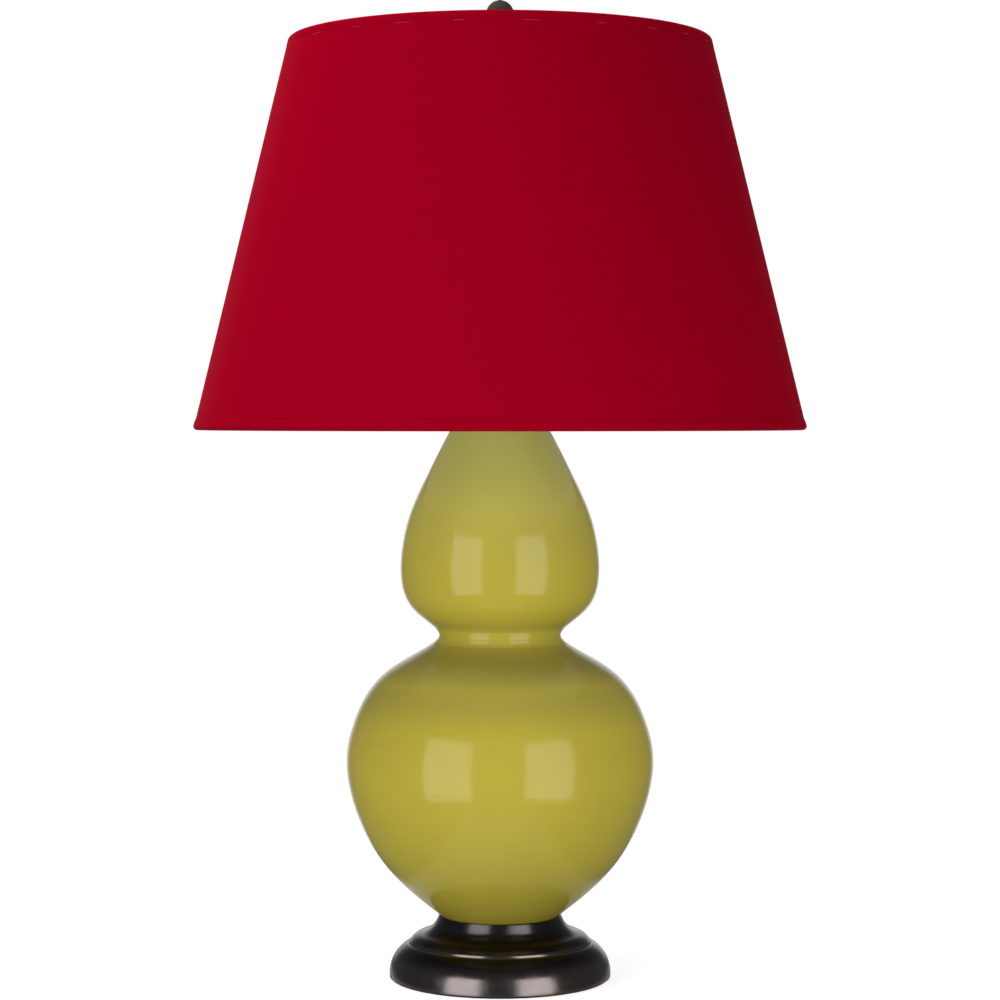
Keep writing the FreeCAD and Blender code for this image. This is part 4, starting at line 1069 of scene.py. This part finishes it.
@dataclass
class Bulb(SubAssembly):
    """The frosted bulb with its rolled cap.

    Attributes:
        thread: The thread of the cap.
        foot_rings: Radius and level of the rings below the thread.
        rim_rings: Radius and level of the rings above it.
    """

    thread: RolledThread = RolledThread(13.1 * MM, 534.2 * MM, 551.6 * MM)
    foot_rings: tuple[Point, ...] = (
        (12.2 * MM, 533.9 * MM), (9.2 * MM, 533.7 * MM), (4.6 * MM, 531.0 * MM),
        (1.0 * MM, 531.0 * MM))
    rim_rings: tuple[Point, ...] = (
        (12.6 * MM, 552.1 * MM), (13.8 * MM, 553.4 * MM), (14.0 * MM, 553.8 * MM),
        (14.0 * MM, 554.7 * MM), (13.6 * MM, 555.0 * MM), (12.6 * MM, 555.0 * MM))
    finishes: dict[str, Finish] = field(default_factory=lambda: {
        "bulb_glass": FROSTED, "bulb_stem": CLEAR, "bulb_filament": TUNGSTEN,
        "bulb_contact": BULB_METAL})

    def build(self) -> None:
        """Dresses the solids and rolls the cap."""
        self.dress_solids()
        self.make_cap()

    def make_cap(self) -> None:
        """The threaded cap: insulator cone, thread, neck and rim in one shell."""
        bm = self.thread.tube()
        self.cap_end(bm, self.thread.low, self.foot_rings)
        self.cap_end(bm, self.thread.high, self.rim_rings)
        self.piece("rolled_cap", bm, BULB_METAL, Body.BULB_THREAD, ["bulb_cap"], 50.0)

    def cap_end(self, bm: bmesh.types.BMesh, level: float, rings: Sequence[Point]) -> None:
        """Draws the open edge of the thread out into smooth rings and closes it.

        Args:
            bm: The threaded tube.
            level: Height of the open edge.
            rings: (radius, height) of each further ring.
        """
        ring = [edge for edge in bm.edges if edge.is_boundary
                and all(abs(vert.co.z - level) < LEVEL_GAP for vert in edge.verts)]
        for radius, height in rings:
            ring = draw_out(bm, ring, radius, height)
        bmesh.ops.holes_fill(bm, edges=ring, sides=0)


@dataclass
class Harp(SubAssembly):
    """The wire harp on its saddle, and the swivelling stud for the shade.

    Attributes:
        crest: Outside of the stud's thread.
        pitch: Pitch of the stud's thread.
        depth: Crest to root.
        ridge: Where its ridge reaches the crest, leaves it and ends, in turns.
        sunk: How far the thread's ridge is sunk into the shank.
        run_in: Plain shank under the thread.
        run_out: Plain shank over it, at least.
        chamfer: Width and height of the chamfer on the stud's end.
        pivot_radius: The pivot.
        pivot_length: From the pivot's foot to the flange.
        flange_radius: Edge of the flange.
        flange_height: Thickness of the flange.
        flange_edge: Chamfer of the flange's edges.
    """

    crest: float = 3.17 * MM
    pitch: float = 25.4 / 27 * MM
    depth: float = 0.28 * MM
    ridge: tuple[float, float, float] = (0.38, 0.52, 0.9)
    sunk: float = 0.05 * MM
    run_in: float = 0.6 * MM
    run_out: float = 0.7 * MM
    chamfer: Point = (0.5 * MM, 0.4 * MM)
    pivot_radius: float = 2.0 * MM
    pivot_length: float = 1.35 * MM
    flange_radius: float = 6.4 * MM
    flange_height: float = 2.0 * MM
    flange_edge: float = 0.3 * MM
    finishes: dict[str, Finish] = field(default_factory=lambda: {
        "harp_saddle": DARK_BRONZE, "harp_bow": HARP_STEEL, "harp_bracket": HARP_STEEL,
        "ferrule_left": DARK_BRONZE, "ferrule_right": DARK_BRONZE})

    def build(self) -> None:
        """Dresses the solids and makes the stud."""
        self.dress_solids()
        self.make_stud()

    def make_stud(self) -> None:
        """The stud: pivot, flange, and a threaded end with a chamfer."""
        foot, end = (corner.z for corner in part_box("swivel_stud"))
        shank, disc, edge = self.crest - self.depth, self.flange_radius, self.flange_edge
        flange = foot + self.pivot_length
        seat = flange + self.flange_height
        wide, tall = self.chamfer
        section = [(0.0, foot), (self.pivot_radius, foot), (self.pivot_radius, flange),
                   (disc - edge, flange), (disc, flange + edge), (disc, seat - edge),
                   (disc - edge, seat), (shank, seat), (shank, end - tall),
                   (shank - wide, end), (0.0, end)]
        bm = lathe(section, steps=64, closed=False)
        self.piece("threaded_stud", bm, BRASS, Body.HARP_STUD, ["swivel_stud"])
        self.make_ridge(shank - self.sunk, seat + self.run_in, end - self.run_out)

    def make_ridge(self, root: float, low: float, high: float) -> None:
        """The ridge of the stud's thread, laid round its shank.

        Args:
            root: Its inner radius.
            low: Level of its first turn.
            high: Level that it stays under.
        """
        rises = (0.0, *self.ridge)
        section = [(radius, low + self.pitch * rise)
                   for radius, rise in zip((root, self.crest, self.crest, root), rises)]
        bm = screw(section, self.pitch, int((high - low) / self.pitch), 36)
        self.piece("stud_thread", bm, BRASS, Body.HARP_STUD, sharp=25.0)


# ----------------------------------------------------------------------- shade

@dataclass(frozen=True)
class FoldedEdging:
    """A folded strip round an edge of the shade.

    Attributes:
        name: The piece's name.
        replaces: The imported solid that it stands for.
        lies_on: What it rests on besides the cover.
        hangs: Whether it hangs from the upper edge.
        section: Distance from its edge of the shade, and depth inside its face, of each
            corner, in millimetres.
        rounding: Roundness of its folds.
        flat_width: Width of the strip before it was folded.
        wander: Unevenness of the height of its fold.
        waves: Count, phase and share of the waves of its fold.
    """

    name: str
    replaces: str
    lies_on: str
    hangs: bool
    section: tuple[Point, ...]
    rounding: float
    flat_width: float
    wander: float
    waves: Zones = ((9, 0.4, 0.45), (23, 1.9, 0.35), (53, 0.0, 0.2))


@dataclass(frozen=True)
class Strip:
    """A narrow strip that lies up the back of the shade.

    Attributes:
        low: Height of its foot over the lower edge.
        high: How far its top stays under the upper edge.
        width: Its width.
        depth: Its face, inside the face of the edgings.
        crown: How far its middle stands out over its sides.
        wall: Its thickness.
        turn: Angle from the middle of the back.
    """

    low: float
    high: float
    width: float
    depth: float
    crown: float
    wall: float
    turn: float = 0.0


@dataclass
class Shade(SubAssembly):
    """The empire shade: silk over a stiff lining, folded edgings and a wire frame.

    Attributes:
        low: Level of the lower edge.
        high: Level of the upper edge.
        low_radius: Outside of the lower edge.
        high_radius: Outside of the upper edge.
        tucked_depth: Face of the cover cloth under the edgings, inside their face.
        cover_depth: Face of the cover cloth between the edgings.
        cover_inset: How far its raw edges stay inside the edges of the shade.
        cover_rows: Rows of the cover between the edgings.
        cover_step: Half the height over which it steps out beside an edging.
        cover_wander: How far it wanders in and out.
        cloth: Thickness of the cloth.
        lower_band: Height of the lower edging.
        upper_band: Height of the upper edging.
        lap_fold: Cloth that the folds of the lap take up.
        stitches: Stitches round the upper edging.
        stitch_drop: How far they lie under that edging.
        stitch_drift: Unevenness of their spacing.
        stitch_length: Mean length of a stitch, and its unevenness.
        stitch_rise: Mean rise of a stitch, and its unevenness.
        stitch_half: Half the height of a stitch.
        steps: Divisions of the full turn.
        lower_edging: The lower edging, rolled over the wire ring.
        upper_edging: The upper edging, folded tightly over the upper edge.
        lap: The folded lap that joins the cover cloth.
        joint: The glued joint of the lining, on its inside.
    """

    low: float = 434.1 * MM
    high: float = 740.8 * MM
    low_radius: float = 241.3 * MM
    high_radius: float = 166.1 * MM
    tucked_depth: float = 0.70 * MM
    cover_depth: float = 0.10 * MM
    cover_inset: float = 1.7 * MM
    cover_rows: int = 46
    cover_step: float = 0.15 * MM
    cover_wander: float = 0.05 * MM
    cloth: float = 0.45 * MM
    lower_band: float = 9.0 * MM
    upper_band: float = 6.5 * MM
    lap_fold: float = 0.55 * MM
    stitches: int = 22
    stitch_drop: float = 1.1 * MM
    stitch_drift: float = 0.13
    stitch_length: Pair = (11.2 * MM, 2.8 * MM)
    stitch_rise: Pair = (0.12 * MM, 0.04 * MM)
    stitch_half: float = 0.26 * MM
    steps: int = 288
    lower_edging: FoldedEdging = FoldedEdging(
        "lower_edging", "bottom_trim", "bottom_ring", False,
        ((0.1, 6.1), (0.0, 3.8), (0.35, 2.0), (1.2, 0.6), (2.6, -0.3), (4.4, -0.6),
         (6.4, -0.42), (8.0, -0.12), (8.7, 0.02), (9.0, 0.15), (9.0, 0.66), (1.9, 0.68),
         (0.62, 1.7), (0.6, 5.6), (7.0, 5.97), (7.0, 6.3)),
        rounding=0.22 * MM, flat_width=26 * MM, wander=0.16 * MM)
    upper_edging: FoldedEdging = FoldedEdging(
        "upper_edging", "top_trim", "shade_liner", True,
        ((6.5, 0.66), (6.5, 0.12), (5.7, 0.0), (2.4, 0.0), (1.2, 0.35), (0.35, 1.2),
         (0.0, 2.3), (0.0, 3.2), (0.4, 3.6), (3.4, 3.6), (3.4, 3.1), (0.78, 3.1),
         (0.78, 1.55), (1.7, 0.68)),
        rounding=0.16 * MM, flat_width=15 * MM, wander=0.14 * MM)
    lap: Strip = Strip(low=9.0 * MM, high=6.5 * MM, width=11.0 * MM, depth=-0.32 * MM,
                       crown=0.14 * MM, wall=0.4 * MM)
    joint: Strip = Strip(low=8.5 * MM, high=9.0 * MM, width=12 * MM, depth=2.80 * MM,
                         crown=0.0525 * MM, wall=0.18 * MM, turn=0.03)
    finishes: dict[str, Finish] = field(default_factory=lambda: {
        "shade_liner": LINING, "bottom_ring": ENAMEL, "spider_fitter": ENAMEL,
        "finial_insert": BRASS, "finial_knob": SATIN_BRONZE})

    @property
    def rise(self) -> float:
        """Height of the shade."""
        return self.high - self.low

    def radius(self, height: float, depth: float) -> float:
        """The radius at a height over the lower edge and a depth inside the edgings' face."""
        share = height / self.rise
        return self.low_radius + (self.high_radius - self.low_radius) * share - depth

    def at(self, height: float, depth: float) -> Point:
        """The (radius, level) of a place on the shade's section."""
        return self.radius(height, depth), self.low + height

    def build(self) -> None:
        """Dresses the solids and makes the cloth pieces."""
        self.dress_solids()
        cover = self.make_cover()
        self.make_edging(self.lower_edging)
        self.make_edging(self.upper_edging)
        self.make_stitches()
        lap = self.make_lap()
        self.make_joint()
        self.state_cloth(cover, lap)

    def pucker(self, place: Vector) -> Vector:
        """Lets the cloth wander in a little, in long shallow waves round the shade.

        Args:
            place: A point of the cover.

        Returns:
            How far it moves.
        """
        share = (place.z - self.low) / self.rise
        wave = waves(place, (7, 1.1, 0.5), (17, share * 3, 0.3), (31, share * 9 + 0.7, 0.2))
        return outward(place) * self.cover_wander * (wave - 1)

    def make_cover(self) -> bpy.types.Object:
        """The cover cloth, drawn tight over the lining.

        Returns:
            The cover.
        """
        low, high = self.lower_band, self.rise - self.upper_band
        step, inset = self.cover_step, self.cover_inset
        reach = high - low - 2 * step
        tucked = [self.at(height, self.tucked_depth)
                  for height in (inset, low - step, high + step, self.rise - inset)]
        shown = [self.at(low + step + reach * number / self.cover_rows, self.cover_depth)
                 for number in range(self.cover_rows + 1)]
        bm = lathe([*tucked[:2], *shown, *tucked[2:]], self.steps, closed=False)
        wrap(bm, (self.low_radius + self.high_radius) / 2)
        shift(bm, self.pucker)
        cover = self.piece("shade_cover", bm, COVER, Body.SHADE, ["shade_fabric"])
        self.thicken(cover, self.cloth)
        return cover

    def make_edging(self, edging: FoldedEdging) -> None:
        """One folded edging.

        Args:
            edging: Which of the two.
        """
        side, start = (-1, self.rise) if edging.hangs else (1, 0.0)
        section = rounded([self.at(start + side * height * MM, depth * MM)
                           for height, depth in edging.section], edging.rounding, 5)
        length = sum(math.dist(a, b) for a, b in zip(section, section[1:] + section[:1]))
        mean, middle = (sum(parts) / len(section) for parts in zip(*section))
        bm = lathe(section, self.steps)
        wrap(bm, mean, length)

        def wavy(place: Vector) -> Vector:
            """How far the raw fold rises or falls at a place, as sewn by hand."""
            folded = (place.z - middle) * side > 0
            return UP * (waves(place, *edging.waves) * edging.wander if folded else 0.0)

        shift(bm, wavy)
        strip = self.piece(edging.name, bm, EDGING, Body.SHADE, [edging.replaces], 80.0)
        math.tau * mean

    def make_stitches(self) -> None:
        """The long hand stitches that hold the upper edging, each a little uneven."""
        radius, level = self.at(self.rise - self.upper_band - self.stitch_drop,
                                self.cover_depth)
        (length, longer), (rise, higher) = self.stitch_length, self.stitch_rise
        bm = bmesh.new()
        for number in range(self.stitches):
            place = number + self.stitch_drift * math.sin(number * 5.0)
            size = Matrix.Diagonal((rise + higher * math.sin(number * 2.3),
                                    (length + longer * math.sin(number * 3.0)) / 2,
                                    self.stitch_half, 1.0))
            made = bmesh.ops.create_uvsphere(bm, u_segments=10, v_segments=8, radius=1.0,
                                             matrix=size)["verts"]
            for vert in made:
                vert.co.x += radius - vert.co.y ** 2 / (2 * radius)
                vert.co.z += level
            bmesh.ops.rotate(bm, verts=made, cent=(0, 0, 0),
                             matrix=Matrix.Rotation(math.tau * place / self.stitches, 3, "Z"))
        self.piece("edging_stitches", bm, STITCH, Body.SHADE)

    def lay(self, strip: Strip) -> bmesh.types.BMesh:
        """Lays a strip up the back of the shade.

        Args:
            strip: The strip.

        Returns:
            Its mesh, with its UV map in metres.
        """
        rise = self.rise - strip.low - strip.high
        bm = bmesh.new()
        bmesh.ops.create_grid(bm, x_segments=6, y_segments=40, size=0.5)
        layer = bm.loops.layers.uv.new("cloth")
        for face in bm.faces:
            for loop in face.loops:
                side, climb = loop.vert.co.x, loop.vert.co.y + 0.5
                loop[layer].uv = (side * strip.width, climb * rise)
        for vert in bm.verts:
            side, climb = vert.co.x, vert.co.y + 0.5
            radius, level = self.at(strip.low + rise * climb, strip.depth)
            radius += strip.crown * (1 - (2 * side) ** 4)
            angle = math.pi / 2 + strip.turn + side * strip.width / radius
            vert.co = (radius * math.cos(angle), radius * math.sin(angle), level)
        return bm

    def make_lap(self) -> bpy.types.Object:
        """The folded lap that joins the cover cloth at the back.

        Returns:
            The lap.
        """
        bm = self.lay(self.lap)
        for face in bm.faces:
            face.normal_update()
        lap = self.piece("cover_lap", bm, COVER, Body.SHADE)
        self.thicken(lap, self.lap.wall)
        return lap

    def make_joint(self) -> None:
        """The glued joint strip on the inside of the lining."""
        joint = self.piece("lining_joint", self.lay(self.joint), PAPER, Body.SHADE)
        self.thicken(joint, self.joint.wall)

    def state_cloth(self, cover: bpy.types.Object, lap: bpy.types.Object) -> None:
        """Does nothing with the cover, which is cut as part of a ring, or with its lap.

        Args:
            cover: The cover; not used.
            lap: The lap; not used.
        """


# ---------------------------------------------------------------------- studio

class Softbox(Enum):
    """The soft lamps: azimuth, distance, elevation, width, height, aim level and radiance."""

    KEY = (-38.5, 1.50, 0.0, 0.98, 1.45, 0.165, 3.40)
    FILL = (37.0, 1.50, 0.0, 1.00, 1.45, 0.165, 3.45)
    TOP = (-90.0, 1.40, 68.0, 0.80, 0.80, 0.55, 9.9)


@dataclass
class Studio:
    """Camera, soft lamps, world and floor.

    Attributes:
        lens: Focal length in millimetres.
        sensor: Width of the sensor in millimetres.
        eye: Place of the camera.
        pitch: Its downward tilt, in degrees.
        ambient: World brightness for matt light.
        lean: How much brighter matt light comes from the left than from above.
        behind: How much brighter it comes from behind.
        room: World brightness that gloss shows away from the backdrop.
        backdrop: How far a direction points away from the camera where gloss shows it.
        floor_radius: Edge of the floor.
        floor_drop: How far it lies under the felt.
        floor_colour: Its colour.
        floor_glow: Brightness added where the floor is seen.
        floor_gloss: Share of that brightness in gloss.
        floor_fade: Shares of its radius between which it fades into the white.
        floor_sides: How far from the middle, left and right, gloss loses the floor.
    """

    lens: float = 99.86
    sensor: float = 36.0
    eye: tuple[float, float, float] = (0.0, -2.1928, 0.4432)
    pitch: float = 1.682
    ambient: float = 0.33
    lean: float = 0.35
    behind: float = 0.50
    room: float = 0.13
    backdrop: Pair = (0.87, 1.0)
    floor_radius: float = 0.44
    floor_drop: float = 0.2 * MM
    floor_colour: Colour = (0.60, 0.60, 0.60)
    floor_glow: float = 0.76
    floor_gloss: float = 0.2
    floor_fade: Pair = (0.50, 0.97)
    floor_sides: Pair = (0.115, 0.145)

    def build(self) -> None:
        """Sets up the whole studio."""
        self.make_camera()
        for box in Softbox:
            self.make_softbox(box)
        self.make_world()
        self.make_floor()
        bpy.context.scene.view_settings.view_transform = "Standard"

    def make_camera(self) -> None:
        """The camera of the photograph."""
        data = bpy.data.cameras.new("camera")
        data.lens = self.lens
        data.sensor_width = self.sensor
        camera = add_object("camera", data)
        camera.location = self.eye
        camera.rotation_euler = Euler((math.radians(90.0 - self.pitch), 0.0, 0.0))
        bpy.context.scene.camera = camera

    def make_softbox(self, box: Softbox) -> None:
        """One soft lamp, turned towards the lamp body.

        Args:
            box: Which of them.
        """
        azimuth, distance, elevation, width, height, level, radiance = box.value
        data = bpy.data.lights.new(f"softbox_{box.name.lower()}", "AREA")
        data.shape = "RECTANGLE"
        data.size = width
        data.size_y = height
        data.energy = radiance * width * height * math.pi
        lamp = add_object(data.name, data)
        turn, climb = math.radians(azimuth), math.radians(elevation)
        out = Vector((math.sin(turn) * math.cos(climb), -math.cos(turn) * math.cos(climb),
                      math.sin(climb)))
        lamp.location = UP * level + out * distance
        lamp.rotation_euler = (-out).to_track_quat("-Z", "Y").to_euler()
        lamp.visible_glossy = box is not Softbox.TOP

    def make_world(self) -> None:
        """White where it is seen, a plain soft level where it lights.

        Gloss shows the white backdrop behind the lamp and a dim room elsewhere.
        """
        world = bpy.data.worlds.new("studio")
        world.use_nodes = True
        bpy.context.scene.world = world
        graph = Graph(world.node_tree)
        across, away, _ = graph.axes(graph.place("Generated"))
        gloss = away.ease(*self.backdrop) * (1.0 - self.room) + self.room
        level = (1 - across * self.lean + away * self.behind) * self.ambient
        strength = graph.seen(gloss).most(graph.ray("Diffuse") * level)
        light = graph.node("ShaderNodeBackground",
                           inputs={"Color": WHITE, "Strength": strength})
        graph.node("ShaderNodeOutputWorld", inputs={"Surface": light})

    def make_floor(self) -> None:
        """A pale round floor that keeps the lamp's shadow and fades into the white."""
        bm = bmesh.new()
        bmesh.ops.create_circle(bm, cap_ends=True, segments=128, radius=self.floor_radius,
                                matrix=Matrix.Translation(UP * -self.floor_drop))
        floor = add_object("floor", as_mesh("floor", bm))
        paint = bpy.data.materials.new("floor_white")
        paint.use_nodes = True
        self.paint_floor(Graph(paint.node_tree))
        floor.data.materials.append(paint)

    def paint_floor(self, graph: Graph) -> None:
        """Matt and glowing near the lamp, plain white or dim far from it, clear from below.

        Args:
            graph: The floor's graph.
        """
        along, across, _ = graph.axes(graph.place())
        reach = (along * along + across * across) ** 0.5
        fade = reach.ease(*(self.floor_radius * share for share in self.floor_fade))
        gloss = graph.ray("Glossy")
        matt = graph.node("ShaderNodeBsdfDiffuse", inputs={"Color": self.floor_colour})
        lit = graph.node("ShaderNodeAddShader", inputs={0: matt, 1: graph.glow(self.floor_glow)})
        near = graph.mix(graph.seen(self.floor_gloss), matt, lit)
        far = graph.mix(gloss, graph.glow(1.0), graph.glow(self.room))
        side = abs(along).ease(*self.floor_sides) * gloss
        whole = graph.mix((graph.seen(1.0) * fade).most(side), near, far)
        below = graph.node("ShaderNodeNewGeometry", out="Backfacing")
        shown = graph.mix(below, whole, graph.node("ShaderNodeBsdfTransparent"))
        graph.node("ShaderNodeOutputMaterial", inputs={"Surface": shown})


def main() -> None:
    """Builds the studio and every sub-assembly."""
    logging.basicConfig(level=logging.INFO, format="%(message)s")
    Studio().build()
    for assembly in (Base(), Gourd(), LampHolder(), Bulb(), Harp(), Shade()):
        assembly.build()


if __name__ == "__main__":
    main()
